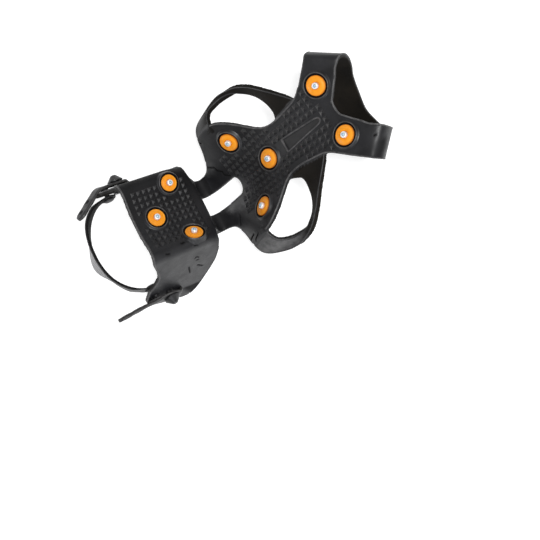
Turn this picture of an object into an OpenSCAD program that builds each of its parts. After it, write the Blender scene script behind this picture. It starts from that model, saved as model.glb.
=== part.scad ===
// Overshoe ice cleat: a moulded rubber sole web with a toe band, two side
// loops and a stepped heel piece, eight studs in plastic washers and a
// buttoned heel strap. The studs face up. X runs from heel to toe, Y to the
// left, Z up. Millimetres.

/* [Rubber] */
// thickness of the moulded rubber sheet
sheet_thk = 3.2; // [3:0.1:3.4]
// height of the raised ring around each stud
boss_h = 1.8; // [1.4:0.1:2]

/* [Forefoot] */
// upward slope of the sole at the ball studs, degrees
ball_pitch = 31; // [29:1:32]
// upward slope of the sole at the toe studs, degrees
toe_pitch = 17; // [16:1:18]
// inward lean of the ball studs, degrees
ball_tilt = 30; // [26:1:31]
// inward lean of the toe studs, degrees
toe_tilt = 10; // [8:1:11]
// ball studs from the middle line, along the sheet
ball_off = 29; // [28:0.5:30]
// toe studs from the middle line, along the sheet
toe_off = 20.5; // [20:0.5:21]

/* [Heel] */
// downward slope of the heel plate toward the toe, degrees
heel_pitch = 45; // [43:1:46]
// inward lean of the side heel studs, degrees
heel_tilt = 20; // [18:1:21]
// length of the heel plate
heel_len = 57; // [56:1:58]
// side heel studs from the middle line, along the sheet
heel_off = 21.5; // [21:0.5:22]
// length of each heel wing below its bend, at its front corner
wing_len = 57; // [56:1:58]
// outward lean of the heel wings, degrees
wing_flare = 12; // [10:1:12]

/* [Studs] */
// visible diameter of the forefoot washers
washer_d = 14.5; // [14:0.1:15]
// visible diameter of the heel washers
heel_washer_d = 13.2; // [12.6:0.1:14]
// diameter of the steel stud shank
shank_d = 4.6; // [4.2:0.1:5]
// height of the steel stud above the sheet
stud_h = 3.2; // [2.8:0.1:3.4]
// diameter of the hard tip
tip_d = 2.2; // [2:0.1:2.4]
// height of the hard tip above the sheet
tip_h = 4.1; // [3.8:0.1:4.4]

/* [Heel strap] */
// width of the strap's eyelets
strap_w = 12; // [11:0.5:12]
// width of the strap at its middle
pad_w = 14; // [12:0.5:16]
// thickness of the strap
strap_thk = 2.6; // [2.4:0.1:2.6]
// how far the strap stands out behind its pivots
strap_reach = 29.8; // [28:0.2:32]

/* [Tabs] */
// width of the buttoned tabs
tab_w = 11; // [10:0.5:11]
// thickness of the tabs
tab_thk = 2.6; // [2.4:0.1:2.6]
// outward angle of the left tab's free end, degrees
left_splay = -22; // [-24:1:14]
// outward angle of the right tab's free end, degrees
right_splay = 9; // [-24:1:14]

/* [Hidden] */

rubber = [0.13, 0.13, 0.135];
orange = [0.96, 0.58, 0.10];
steel = [0.78, 0.79, 0.80];
carbide = [0.58, 0.62, 0.68];

// place of the model in the part's frame
move_x = -69.7;
move_z = 70.02;

// ---- arcs -----------------------------------------------------------------
// end of an arc of length l that starts at p and turns from a0 to a1
function arcp(p, a0, a1, l) = let (d = a1 - a0)
  abs(d) < 0.01 ? [p[0] + l * cos(a0), p[1] + l * sin(a0)]
  : let (r = l * 180 / (PI * d))
    [p[0] + r * (sin(a1) - sin(a0)), p[1] - r * (cos(a1) - cos(a0))];
// point and direction at length s on a chain of arcs [[s, angle], ...]
function track(c, s, p, i = 0) =
  (i >= len(c) - 2 || s <= c[i + 1][0])
  ? let (a = c[i][1] + (c[i + 1][1] - c[i][1]) * (s - c[i][0]) / (c[i + 1][0] - c[i][0]),
         q = arcp(p, c[i][1], a, s - c[i][0])) [q[0], q[1], a]
  : track(c, s, arcp(p, c[i][1], c[i + 1][1], c[i + 1][0] - c[i][0]), i + 1);

// a point of a bent sheet: c is the long profile, l the cross profile,
// g the side (+1 left, -1 right), d the depth below the outer face
function bent(c, l, g, d) =
  let (n = [-sin(c[2]), 0, cos(c[2])], y = [0, 1, 0])
  [c[0], 0, c[1]] + g * l[0] * y + l[1] * n - d * (cos(l[2]) * n - g * sin(l[2]) * y);
function sgn(t) = t < 0 ? -1 : 1;

// ---- forefoot sheet ---------------------------------------------------------
fore = [[46, ball_pitch - 10], [60, ball_pitch - 6], [75, ball_pitch - 2],
        [90, ball_pitch], [105, ball_pitch], [125, 27], [188, toe_pitch],
        [248, toe_pitch - 10]];
mid_s = 125;
mid_xz = [102, -35.5];
fore_0 = let (q = track(fore, mid_s, [0, 0])) [mid_xz[0] - q[0], mid_xz[1] - q[1]];
function fc(s) = track(fore, s, fore_0);
fore_tilt = [[46, 5], [60, 5], [75, 14], [90, 24], [105, ball_tilt], [125, 25],
             [150, 14], [188, toe_tilt], [230, toe_tilt]];
fore_ref = [[46, 21.5], [60, 21.5], [75, 22], [90, 26], [105, ball_off], [125, 28],
            [150, 24], [188, toe_off], [230, toe_off]];
function fl(s, t) = track([[0, 0], [lookup(s, fore_ref), lookup(s, fore_tilt)],
                           [200, lookup(s, fore_tilt)]], abs(t), [0, 0]);
function fpt(s, t, d = 0) = bent(fc(s), fl(s, t), sgn(t), d);
// half width of the sole web along its length
fore_w = [[46, 23.5], [54, 22.2], [60, 23], [64, 24.6], [68, 28.6], [71, 32],
          [74, 36.4], [76.5, 41], [78.5, 45], [80, 47.5], [82, 48.5], [102, 48.5],
          [106, 47.8], [109, 46], [113, 42.5], [117, 38.5], [121, 34], [126, 28],
          [130, 23.8], [135, 20.6], [141, 19.4], [147, 19.3], [154, 20], [160, 21],
          [166, 22], [170, 23.2], [174, 25.9], [180, 31], [188, 37.6], [191, 40]];
function fw(s) = lookup(s, fore_w);
// half width of the slot between the legs
function slot(s) = s <= 84 ? 7.8 - 0.02 * (s - 46)
  : s >= 89 ? 0 : 7 * sqrt(1 - pow((s - 84) / 5, 2));
leg_s = 64;

// ---- heel sheet, in the heel frame [along, across, up] ----------------------
heel_xz = [0, 0];
module heel_frame() translate([heel_xz[0], 0, heel_xz[1]]) rotate([0, heel_pitch, 0]) children();
wing_a = wing_flare - 90;
wing_t = 41;
heel_lat = [[0, 0], [heel_off, heel_tilt], [27, heel_tilt], [wing_t, wing_a], [200, wing_a]];
function hl(t) = track(heel_lat, abs(t), [0, 0]);
function hpt(s, t, d = 0) = bent([s, 0, 0], hl(t), sgn(t), d);
wing_y = hl(wing_t)[0];
wing_n = hl(wing_t)[1];
tip_t = wing_t + wing_len;
function heel_front(t) = lookup(abs(t), [[0, heel_len], [20, heel_len], [25, heel_len - 2],
  [30, heel_len - 4.5], [36, heel_len - 6], [wing_t, heel_len - 6.5],
  [wing_t + 15, heel_len - 5], [wing_t + 29, heel_len - 5.5], [tip_t - 12, heel_len - 8],
  [tip_t - 5, heel_len - 11], [tip_t - 2, heel_len - 13.5], [tip_t, heel_len - 17.5]]);
function heel_rear(t) = lookup(abs(t), [[0, 0], [30, 0], [wing_t, 1], [wing_t + 12, 5],
  [wing_t + 20, 7], [wing_t + 27, 5], [wing_t + 33, 1.5], [tip_t - 12.5, 1],
  [tip_t - 9.5, 4], [tip_t - 7, 12], [tip_t - 3.5, 25], [tip_t - 1, 33], [tip_t, 37]]);
// frame on the outer face of the left wing [along, down, out]
module wing_frame() translate([0, wing_y, wing_n]) rotate([wing_a, 0, 0]) children();

// ---- solids from grids ---------------------------------------------------
// closed slab between two grids of points; rows run toward the toe, columns
// toward the left, a is the outer face and b the inner one
module slab(a, b) {
  nr = len(a); nc = len(a[0]); n = nr * nc;
  function o(i, j) = i * nc + j;
  function u(i, j) = n + i * nc + j;
  polyhedron(points = concat([for (r = a) for (p = r) p], [for (r = b) for (p = r) p]),
    faces = concat(
      [for (i = [0:nr - 2], j = [0:nc - 2]) each [[o(i, j), o(i, j + 1), o(i + 1, j + 1)], [o(i, j), o(i + 1, j + 1), o(i + 1, j)]]],
      [for (i = [0:nr - 2], j = [0:nc - 2]) each [[u(i, j), u(i + 1, j + 1), u(i, j + 1)], [u(i, j), u(i + 1, j), u(i + 1, j + 1)]]],
      [for (j = [0:nc - 2]) each [[o(0, j), u(0, j), u(0, j + 1)], [o(0, j), u(0, j + 1), o(0, j + 1)]]],
      [for (j = [0:nc - 2]) each [[o(nr - 1, j), u(nr - 1, j + 1), u(nr - 1, j)], [o(nr - 1, j), o(nr - 1, j + 1), u(nr - 1, j + 1)]]],
      [for (i = [0:nr - 2]) each [[o(i, 0), u(i + 1, 0), u(i, 0)], [o(i, 0), o(i + 1, 0), u(i + 1, 0)]]],
      [for (i = [0:nr - 2]) each [[o(i, nc - 1), u(i, nc - 1), u(i + 1, nc - 1)], [o(i, nc - 1), u(i + 1, nc - 1), o(i + 1, nc - 1)]]]),
    convexity = 10);
}
// smooth curve through a list of points, k steps per span
function cr(p0, p1, p2, p3, t) = 0.5 * ((2 * p1) + (p2 - p0) * t
  + (2 * p0 - 5 * p1 + 4 * p2 - p3) * t * t + (3 * p1 - p0 - 3 * p2 + p3) * t * t * t);
function smooth(p, k) = let (m = len(p) - 1)
  concat([for (i = [0:m - 1], j = [0:k - 1])
    cr(p[max(i - 1, 0)], p[i], p[i + 1], p[min(i + 2, m)], j / k)], [p[m]]);
// rounded band between two edges given point by point
module band(a, b, r) {
  for (i = [0:len(a) - 2]) hull()
    for (q = [a[i], b[i], a[i + 1], b[i + 1]]) translate(q) sphere(r = r, $fn = 8);
}
module mirrored(right) { if (right) mirror([0, 1, 0]) children(); else children(); }
// put the children's Z axis along n at p
module along(p, n) translate(p) rotate([0, acos(n[2] / norm(n)), atan2(n[1], n[0])]) children();
module placed() translate([move_x, 0, move_z]) children();

// ---- studs ------------------------------------------------------------------
flange_d = 15;
flange_t = 1.2;
boss_d = washer_d + 5.5;
recess_d = washer_d + 2.6;
stud_z = -sheet_thk - 0.2;
// positions on the sheets: [along, across]
toe_pos = [188, toe_off];
ball_pos = [105, ball_off];
mid_pos = [mid_s, 0];
heel_side_pos = [37.5, heel_off];
heel_rear_pos = [17.5, 0];
module at_fore(q) { p = fpt(q[0], q[1]); along(p, p - fpt(q[0], q[1], 1)) children(); }
module at_heel(q) heel_frame() { p = hpt(q[0], q[1]); along(p, p - hpt(q[0], q[1], 1)) children(); }
module boss(d) {
  translate([0, 0, -sheet_thk / 2]) cylinder(d = d + 5.5, h = sheet_thk / 2 + boss_h, $fn = 40);
}
module boss_hole(d) {
  translate([0, 0, -0.02]) cylinder(d = d + 2.6, h = boss_h + 4, $fn = 40);
  translate([0, 0, -sheet_thk - 3]) cylinder(d = shank_d + 0.1, h = 12, $fn = 32);
  translate([0, 0, -sheet_thk - 4]) cylinder(d = flange_d + 0.2, h = 4 + flange_t - 0.15, $fn = 40);
}
module washer(d) {
  difference() {
    union() {
      cylinder(d = d, h = 0.9, $fn = 96);
      translate([0, 0, 0.9]) cylinder(d1 = d - 1, d2 = 9, h = 0.7, $fn = 96);
    }
    translate([0, 0, -1]) cylinder(d = shank_d + 0.06, h = 5, $fn = 64);
  }
}
module stud() {
  difference() {
    union() {
      translate([0, 0, stud_z]) cylinder(d = flange_d, h = flange_t, $fn = 96);
      translate([0, 0, stud_z + flange_t - 0.01]) cylinder(d = shank_d, h = stud_h - 0.4 - stud_z - flange_t + 0.02, $fn = 64);
      translate([0, 0, stud_h - 0.4]) cylinder(d1 = shank_d, d2 = shank_d - 0.9, h = 0.4, $fn = 64);
    }
    translate([0, 0, 0.4]) cylinder(d = tip_d + 0.04, h = 6, $fn = 48);
  }
}
module tip() {
  translate([0, 0, 0.42]) cylinder(d = tip_d, h = tip_h - 0.3 - 0.42, $fn = 48);
  translate([0, 0, tip_h - 0.3]) cylinder(d1 = tip_d, d2 = tip_d - 0.6, h = 0.3, $fn = 48);
}

// ---- forefoot body ----------------------------------------------------------
// outer edges of the left side loop, from the ball wing round to the neck
loop_in = smooth([fpt(102, 42, 1.6), fpt(103, 47, 1.6), [80, 52, -36], [87, 56, -38.5],
  [97, 57, -39], [106, 53.5, -38], [113, 46.5, -35], [118, 37, -32.5], [120.5, 28, -31],
  fpt(147, 17.5, 1.6)], 2);
loop_out = smooth([fpt(82, 42, 1.6), fpt(81, 47, 1.6), [62, 54, -51], [71, 59.5, -50.5],
  [87.5, 64.5, -44.5], [103, 62, -35], [115, 53.5, -26], [126, 41.5, -20], [136, 30, -18.2],
  fpt(170.5, 19.5, 1.6)], 2);
// front and rear edges of the left half of the toe band
toe_in = smooth([fpt(192, 5.5, 1.6), fpt(198, 12.5, 1.6), fpt(203, 18, 1.6), fpt(207, 23, 1.6),
  [183.5, 27, -6], [186.5, 29, -11], [187.5, 28.5, -20], [186, 25.5, -31], [183.5, 20.5, -43],
  [181, 11.5, -53], [179, -0.5, -57.5]], 2);
toe_out = smooth([fpt(172, 22.5, 1.6), fpt(179.5, 30.65, 1.6), fpt(186.5, 37.2, 1.6), fpt(192.5, 42.3, 1.6),
  [165, 44.3, -6.5], [167.8, 46.8, -11.5], [168.3, 46.8, -20], [166.2, 43, -32.5], [162.5, 33.3, -48.5],
  [157, 17, -63], [154, -0.5, -68.4]], 2);
web_s = concat([for (i = [0:10]) leg_s + (84 - leg_s) * i / 10],
  [for (a = [15:15:90]) 84 + 5 * sin(a)], [for (i = [1:30]) 89 + (191 - 89) * i / 30]);
web_c = [for (j = [0:8]) j / 8];
function rear_t(s, u) = slot(s) + (fw(s) - slot(s)) * u;
band_r = sheet_thk / 2 - 0.2;

module forefoot_body() color(rubber) placed() difference() {
  union() {
    for (m = [false, true]) mirrored(m) {
      slab([for (s = web_s) [for (u = web_c) fpt(s, rear_t(s, u))]],
           [for (s = web_s) [for (u = web_c) fpt(s, rear_t(s, u), sheet_thk)]]);
      band(loop_in, loop_out, band_r);
      band(toe_in, toe_out, band_r);
      at_fore(toe_pos) boss(washer_d);
      at_fore(ball_pos) boss(washer_d);
    }
    at_fore(mid_pos) boss(washer_d);
  }
  for (m = [false, true]) mirrored(m) {
    at_fore(toe_pos) boss_hole(washer_d);
    at_fore(ball_pos) boss_hole(washer_d);
  }
  at_fore(mid_pos) boss_hole(washer_d);
}

// ---- legs ----------------------------------------------------------------
// each leg leaves the heel plate's front edge, drops down the heel step and
// turns forward into the sole web; the two straight runs close the chain
step_a = -105;
leg_end = fc(leg_s);
leg_p0 = [heel_xz[0] + heel_len * cos(heel_pitch), heel_xz[1] - heel_len * sin(heel_pitch)];
leg_l1 = 8;
leg_l2 = 13;
leg_p1 = arcp(leg_p0, -heel_pitch, step_a, leg_l1);
leg_d2 = arcp([0, 0], step_a, leg_end[2], leg_l2);
leg_rx = leg_end[0] - leg_p1[0] - leg_d2[0];
leg_rz = leg_end[1] - leg_p1[1] - leg_d2[1];
leg_det = cos(step_a) * sin(leg_end[2]) - sin(step_a) * cos(leg_end[2]);
leg_lb = (leg_rx * sin(leg_end[2]) - leg_rz * cos(leg_end[2])) / leg_det;
leg_lf = (cos(step_a) * leg_rz - sin(step_a) * leg_rx) / leg_det;
leg_len = leg_l1 + leg_lb + leg_l2 + leg_lf;
leg_chain = [[0, -heel_pitch], [leg_l1, step_a], [leg_l1 + leg_lb, step_a],
             [leg_l1 + leg_lb + leg_l2, leg_end[2]], [leg_len, leg_end[2]]];
function leg_c(v) = track(leg_chain, v, leg_p0);
leg_v = [for (i = [0:24]) leg_len * i / 24];
leg_u = [for (j = [0:4]) j / 4];
function mix(a, b, k) = a + (b - a) * k;
function leg_pt(v, u, d) = let (k = v / leg_len, t0 = mix(8.2, 22.8, u), t1 = rear_t(leg_s, u),
    e = k * k * (3 - 2 * k), h = hl(t0), f = fl(leg_s, t1))
  bent(leg_c(v), [mix(h[0], f[0], e), mix(h[1], f[1], e), mix(h[2], f[2], e)], 1, d);
module leg(right) color(rubber) placed() mirrored(right)
  slab([for (v = leg_v) [for (u = leg_u) leg_pt(v, u, 0)]],
       [for (v = leg_v) [for (u = leg_u) leg_pt(v, u, sheet_thk)]]);
module left_leg() leg(false);
module right_leg() leg(true);

// ---- heel body --------------------------------------------------------------
heel_t = [for (j = [-34:34]) tip_t * j / 34];
heel_u = [for (i = [0:4]) i / 4];
function heel_s(t, u) = heel_rear(t) + (heel_front(t) - heel_rear(t)) * u;
// strap pivots and buttons on the wings: [along, down]
pivot_at = [8, 40];
button_at = [20, 42.5];
pivot_y = wing_y + pivot_at[1] * cos(wing_a);
pivot_n = wing_n + pivot_at[1] * sin(wing_a);
pivot_d = 4;
module rib(t0, t1, k, back) {
  for (j = [0:k - 1]) hull() for (t = [t0 + (t1 - t0) * j / k, t0 + (t1 - t0) * (j + 1) / k])
    translate(hpt(back ? heel_rear(t) : heel_front(t), t, sheet_thk / 2)) sphere(d = sheet_thk + 0.5, $fn = 8);
}
module heel_body() color(rubber) placed() heel_frame() difference() {
  union() {
    slab([for (u = heel_u) [for (t = heel_t) hpt(heel_s(t, u), t)]],
         [for (u = heel_u) [for (t = heel_t) hpt(heel_s(t, u), t, sheet_thk)]]);
    for (m = [false, true]) mirrored(m) {
      rib(0, 60, 16, true);
      rib(30, 70, 12, false);
      p = hpt(heel_side_pos[0], heel_side_pos[1]);
      along(p, p - hpt(heel_side_pos[0], heel_side_pos[1], 1)) boss(heel_washer_d);
    }
    translate(hpt(heel_rear_pos[0], 0)) boss(heel_washer_d);
  }
  for (m = [false, true]) mirrored(m) {
    p = hpt(heel_side_pos[0], heel_side_pos[1]);
    along(p, p - hpt(heel_side_pos[0], heel_side_pos[1], 1)) boss_hole(heel_washer_d);
    translate([pivot_at[0], pivot_y, pivot_n]) rotate([90, 0, 0]) cylinder(d = pivot_d + 0.2, h = 20, center = true, $fn = 32);
    wing_frame() translate([button_at[0], button_at[1], -8]) cylinder(d = 5.2, h = 12, $fn = 32);
  }
  translate(hpt(heel_rear_pos[0], 0)) boss_hole(heel_washer_d);
}

// ---- studs in place -----------------------------------------------------------
module toe_left_washer() color(orange) placed() at_fore(toe_pos) washer(washer_d);
module toe_left_stud() color(steel) placed() at_fore(toe_pos) stud();
module toe_left_tip() color(carbide) placed() at_fore(toe_pos) tip();
module toe_right_washer() color(orange) placed() mirror([0, 1, 0]) at_fore(toe_pos) washer(washer_d);
module toe_right_stud() color(steel) placed() mirror([0, 1, 0]) at_fore(toe_pos) stud();
module toe_right_tip() color(carbide) placed() mirror([0, 1, 0]) at_fore(toe_pos) tip();
module mid_washer() color(orange) placed() at_fore(mid_pos) washer(washer_d);
module mid_stud() color(steel) placed() at_fore(mid_pos) stud();
module mid_tip() color(carbide) placed() at_fore(mid_pos) tip();
module ball_left_washer() color(orange) placed() at_fore(ball_pos) washer(washer_d);
module ball_left_stud() color(steel) placed() at_fore(ball_pos) stud();
module ball_left_tip() color(carbide) placed() at_fore(ball_pos) tip();
module ball_right_washer() color(orange) placed() mirror([0, 1, 0]) at_fore(ball_pos) washer(washer_d);
module ball_right_stud() color(steel) placed() mirror([0, 1, 0]) at_fore(ball_pos) stud();
module ball_right_tip() color(carbide) placed() mirror([0, 1, 0]) at_fore(ball_pos) tip();
module heel_left_washer() color(orange) placed() at_heel(heel_side_pos) washer(heel_washer_d);
module heel_left_stud() color(steel) placed() at_heel(heel_side_pos) stud();
module heel_left_tip() color(carbide) placed() at_heel(heel_side_pos) tip();
module heel_right_washer() color(orange) placed() mirror([0, 1, 0]) at_heel(heel_side_pos) washer(heel_washer_d);
module heel_right_stud() color(steel) placed() mirror([0, 1, 0]) at_heel(heel_side_pos) stud();
module heel_right_tip() color(carbide) placed() mirror([0, 1, 0]) at_heel(heel_side_pos) tip();
module heel_rear_washer() color(orange) placed() at_heel(heel_rear_pos) washer(heel_washer_d);
module heel_rear_stud() color(steel) placed() at_heel(heel_rear_pos) stud();
module heel_rear_tip() color(carbide) placed() at_heel(heel_rear_pos) tip();

// ---- heel strap, its pivots, buttons and tabs -----------------------------------
// the strap's ends lie flat against the insides of the wings, square to the
// pivot axis, so they can turn without touching the leaning wings
strap_y = pivot_y - sheet_thk / cos(wing_flare) - (strap_w / 2) * tan(wing_flare) - strap_thk / 2 - 0.4;
function strap_c(a) = [pivot_at[0] - 2 - (strap_reach - 2) * pow(sin(a), 1.3),
                       strap_y * sgn(cos(a)) * pow(abs(cos(a)), 0.86)];
strap_a = [for (i = [0:24]) i * 7.5];
strap_line = concat([[pivot_at[0], strap_y]], [for (a = strap_a) strap_c(a)], [[pivot_at[0], -strap_y]]);
function strap_hw(q) = (mix(pad_w, strap_w - 3, pow(min(abs(q[1]) / strap_y, 1), 2)) - strap_thk) / 2;
// the strap stands upright behind the heel, so its upper edge lies further back
function strap_lean(q) = 0.6 * strap_hw(q) * (1 - pow(min(abs(q[1]) / strap_y, 1), 4));
module heel_strap() color(rubber) placed() heel_frame() translate([0, 0, pivot_n]) difference() {
  union() {
    band([for (q = strap_line) [q[0] - strap_lean(q), q[1], strap_hw(q)]],
         [for (q = strap_line) [q[0] + strap_lean(q), q[1], -strap_hw(q)]], strap_thk / 2);
    for (g = [-1, 1]) translate([pivot_at[0], g * strap_y, 0]) rotate([90, 0, 0])
      cylinder(d = strap_w, h = strap_thk, center = true, $fn = 40);
  }
  translate([pivot_at[0], 0, 0]) rotate([90, 0, 0]) cylinder(d = pivot_d + 0.6, h = 120, center = true, $fn = 32);
}
module pivot(right) color(steel) placed() heel_frame() mirrored(right)
  translate([pivot_at[0], 0, pivot_n]) rotate([-90, 0, 0]) {
    translate([0, 0, strap_y - strap_thk / 2 - 0.3 - 1.3]) cylinder(d = 8, h = 1.3, $fn = 64);
    translate([0, 0, strap_y - strap_thk / 2 - 0.31]) cylinder(d = pivot_d, h = pivot_y - strap_y + strap_thk / 2 + 1.2, $fn = 48);
    translate([0, 0, pivot_y + 0.7]) cylinder(d1 = 6.6, d2 = 5, h = 0.5, $fn = 64);
  }
module left_pivot() pivot(false);
module right_pivot() pivot(true);

// mushroom button through the wing; its head holds the tab
tab_o = 1.9;
head_o = tab_o + tab_thk + 0.3;
module button(right) color(rubber) placed() heel_frame() mirrored(right) wing_frame()
  translate([button_at[0], button_at[1], 0]) {
    translate([0, 0, -sheet_thk - 1.5]) cylinder(d = 9, h = 1.45, $fn = 64);
    translate([0, 0, -sheet_thk - 0.06]) cylinder(d = 5, h = sheet_thk + head_o + 0.08, $fn = 48);
    translate([0, 0, head_o]) cylinder(d = 12.4, h = 1, $fn = 72);
    translate([0, 0, head_o + 0.99]) cylinder(d1 = 12, d2 = 3.4, h = 4.4, $fn = 72);
  }
module left_button() button(false);
module right_button() button(true);

// tab: a strip buttoned over the knob, bonded to the wing at its front end
tab_front = 41;
tab_hinge = -1;
module tab(right) color(rubber) placed() heel_frame() mirrored(right) wing_frame()
  translate([0, button_at[1], 0]) difference() {
    union() {
      translate([tab_hinge + tab_thk / 2 + 0.3, -tab_w / 2, tab_o]) cube([tab_front - tab_hinge - tab_thk / 2 - 0.3, tab_w, tab_thk]);
      translate([tab_front - 4.5, -tab_w / 2, 0.02]) cube([4.5, tab_w, tab_o + 0.1]);
    }
    translate([button_at[0], 0, -5]) cylinder(d = 5.6, h = 20, $fn = 48);
  }
module left_tab() tab(false);
module right_tab() tab(true);
tab_end_l = 25;
module tab_end(right, splay) color(rubber) placed() heel_frame() mirrored(right) wing_frame()
  translate([tab_hinge, button_at[1], tab_o + tab_thk / 2]) rotate([0, splay, 0]) {
    rotate([90, 0, 0]) cylinder(d = tab_thk, h = tab_w, center = true, $fn = 48);
    translate([-tab_end_l + tab_w / 2, -tab_w / 2, -tab_thk / 2]) cube([tab_end_l - tab_w / 2, tab_w, tab_thk]);
    translate([-tab_end_l + tab_w / 2, 0, -tab_thk / 2]) cylinder(d = tab_w, h = tab_thk, $fn = 64);
  }
module left_tab_end() tab_end(false, left_splay);
module right_tab_end() tab_end(true, right_splay);

forefoot_body();
left_leg();
right_leg();
heel_body();
toe_left_washer();
toe_left_stud();
toe_left_tip();
toe_right_washer();
toe_right_stud();
toe_right_tip();
mid_washer();
mid_stud();
mid_tip();
ball_left_washer();
ball_left_stud();
ball_left_tip();
ball_right_washer();
ball_right_stud();
ball_right_tip();
heel_left_washer();
heel_left_stud();
heel_left_tip();
heel_right_washer();
heel_right_stud();
heel_right_tip();
heel_rear_washer();
heel_rear_stud();
heel_rear_tip();
heel_strap();
left_pivot();
right_pivot();
left_button();
right_button();
left_tab();
right_tab();
left_tab_end();
right_tab_end();
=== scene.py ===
import math

import bpy
import numpy as np
from mathutils import Matrix, Vector
from mathutils.kdtree import KDTree


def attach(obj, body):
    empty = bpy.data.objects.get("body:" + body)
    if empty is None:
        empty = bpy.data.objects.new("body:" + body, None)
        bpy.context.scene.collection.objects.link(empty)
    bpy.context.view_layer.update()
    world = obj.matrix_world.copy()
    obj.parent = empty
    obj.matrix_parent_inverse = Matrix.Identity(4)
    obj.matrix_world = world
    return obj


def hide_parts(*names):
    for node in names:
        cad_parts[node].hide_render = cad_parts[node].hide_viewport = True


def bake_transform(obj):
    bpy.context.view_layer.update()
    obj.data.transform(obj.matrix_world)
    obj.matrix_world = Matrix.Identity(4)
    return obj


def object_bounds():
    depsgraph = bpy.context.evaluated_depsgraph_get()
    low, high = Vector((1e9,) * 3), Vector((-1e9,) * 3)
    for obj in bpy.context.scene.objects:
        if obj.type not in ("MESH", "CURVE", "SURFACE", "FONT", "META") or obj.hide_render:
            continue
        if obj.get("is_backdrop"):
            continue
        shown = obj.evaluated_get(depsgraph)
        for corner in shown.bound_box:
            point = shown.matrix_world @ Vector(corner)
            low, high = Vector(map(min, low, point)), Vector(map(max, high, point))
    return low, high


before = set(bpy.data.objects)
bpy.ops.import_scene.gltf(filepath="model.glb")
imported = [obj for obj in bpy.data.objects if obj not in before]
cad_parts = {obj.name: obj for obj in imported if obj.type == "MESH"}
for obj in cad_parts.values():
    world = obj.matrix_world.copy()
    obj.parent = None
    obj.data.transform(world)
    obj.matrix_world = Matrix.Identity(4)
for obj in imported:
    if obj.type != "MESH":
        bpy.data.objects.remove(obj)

CAD_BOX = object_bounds()
rng = np.random.default_rng(7)

# place of the model in the part's frame, millimetres
MOVE = np.array([-69.7, 0.0, 70.02])
THK = 3.2


def to_frame(p):
    return (np.asarray(p, float) + MOVE) * 0.001


# ---------------------------------------------------------------- sheet shapes
def chain(nodes, ds=0.02):
    s = np.arange(nodes[0][0], nodes[-1][0] + ds / 2, ds)
    a = np.radians(np.interp(s, [n[0] for n in nodes], [n[1] for n in nodes]))
    am = (a[1:] + a[:-1]) / 2
    x = np.concatenate([[0], np.cumsum(np.cos(am) * ds)])
    z = np.concatenate([[0], np.cumsum(np.sin(am) * ds)])
    return s, x, z, a


FS, FX, FZ, FA = chain([(46, 21), (60, 25), (75, 29), (90, 31), (105, 31), (125, 27), (188, 17), (248, 7)])
FX = FX + (102 - np.interp(125, FS, FX))
FZ = FZ + (-35.5 - np.interp(125, FS, FZ))
TS = [46, 60, 75, 90, 105, 125, 150, 188, 230]
TA = [5, 5, 14, 24, 30, 25, 14, 10, 10]
TR = [21.5, 21.5, 22, 26, 29, 28, 24, 20.5, 20.5]


def smooth_table(pts, lo, hi, sigma, step=0.1):
    x = np.arange(lo - 6 * sigma, hi + 6 * sigma + step, step)
    y = np.interp(x, [p[0] for p in pts], [p[1] for p in pts])
    k = np.exp(-0.5 * (np.arange(-4 * sigma, 4 * sigma + step, step) / sigma) ** 2)
    k /= k.sum()
    h = len(k) // 2
    y = np.convolve(np.pad(y, h, mode="edge"), k, mode="valid")[: len(x)]
    return x, y


TSX, TSA = smooth_table(list(zip(TS, TA)), 46, 230, 3.0)
_, TSR = smooth_table(list(zip(TS, TR)), 46, 230, 3.0)


def fore_lat(s, t):
    am = np.radians(np.interp(s, TSX, TSA))
    tr = np.interp(s, TSX, TSR)
    ta = np.abs(t)
    a = am * np.minimum(ta, tr) / tr
    ex = np.maximum(ta - tr, 0)
    return tr / am * np.sin(a) + ex * np.cos(am), tr / am * (1 - np.cos(a)) + ex * np.sin(am), a


def bent(X, Z, P, y, n, tilt, g, d):
    nx, nz = -np.sin(P), np.cos(P)
    k = n - d * np.cos(tilt)
    return np.stack(np.broadcast_arrays(X + k * nx, g * (y + d * np.sin(tilt)), Z + k * nz), -1)


def fore_pt(s, t, d=0.0):
    s, t = np.broadcast_arrays(np.asarray(s, float), np.asarray(t, float))
    y, n, a = fore_lat(s, t)
    return bent(np.interp(s, FS, FX), np.interp(s, FS, FZ), np.interp(s, FS, FA), y, n, a, np.where(t < 0, -1.0, 1.0), d)


FORE_W = [(46, 23.5), (54, 22.2), (60, 23), (64, 24.6), (68, 28.6), (71, 32), (74, 36.4), (76.5, 41), (78.5, 45),
          (80, 47.5), (82, 48.5), (102, 48.5), (106, 47.8), (109, 46), (113, 42.5), (117, 38.5), (121, 34), (126, 28),
          (130, 23.8), (135, 20.6), (141, 19.4), (147, 19.3), (154, 20), (160, 21), (166, 22), (170, 23.2),
          (174, 25.9), (180, 31), (188, 37.6), (191, 40)]
WX, WY = smooth_table(FORE_W, 46, 191, 1.3)


def fw(s):
    return np.interp(s, WX, WY)


def slot(s):
    s = np.asarray(s, float)
    r = 7 * np.sqrt(np.clip(1 - ((s - 84) / 5) ** 2, 0, 1))
    return np.where(s <= 84, 7.8 - 0.02 * (s - 46), np.where(s >= 89, 0, r))


# heel sheet
HLEN = 57.0
WING_T = 36.7
TIP_T = 97.0
HT, HY, HN, HA = chain([(0, 0), (21.5, 20), (25, 20), (35.5, -72.9), (120, -72.9)])
# the dish of the plate runs out toward its front edge
_, HY0, HN0, HA0 = chain([(0, 0), (21.5, 0), (25, 0), (35.5, -72.9), (120, -72.9)])
C45 = math.sqrt(0.5)
WING_A = math.radians(-78)
WING_Y = 37.04
WING_N = -0.394


def heel_world(s, y, n):
    s, y, n = np.broadcast_arrays(np.asarray(s, float), np.asarray(y, float), np.asarray(n, float))
    return np.stack([(s + n) * C45, y, (n - s) * C45], -1)


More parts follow.
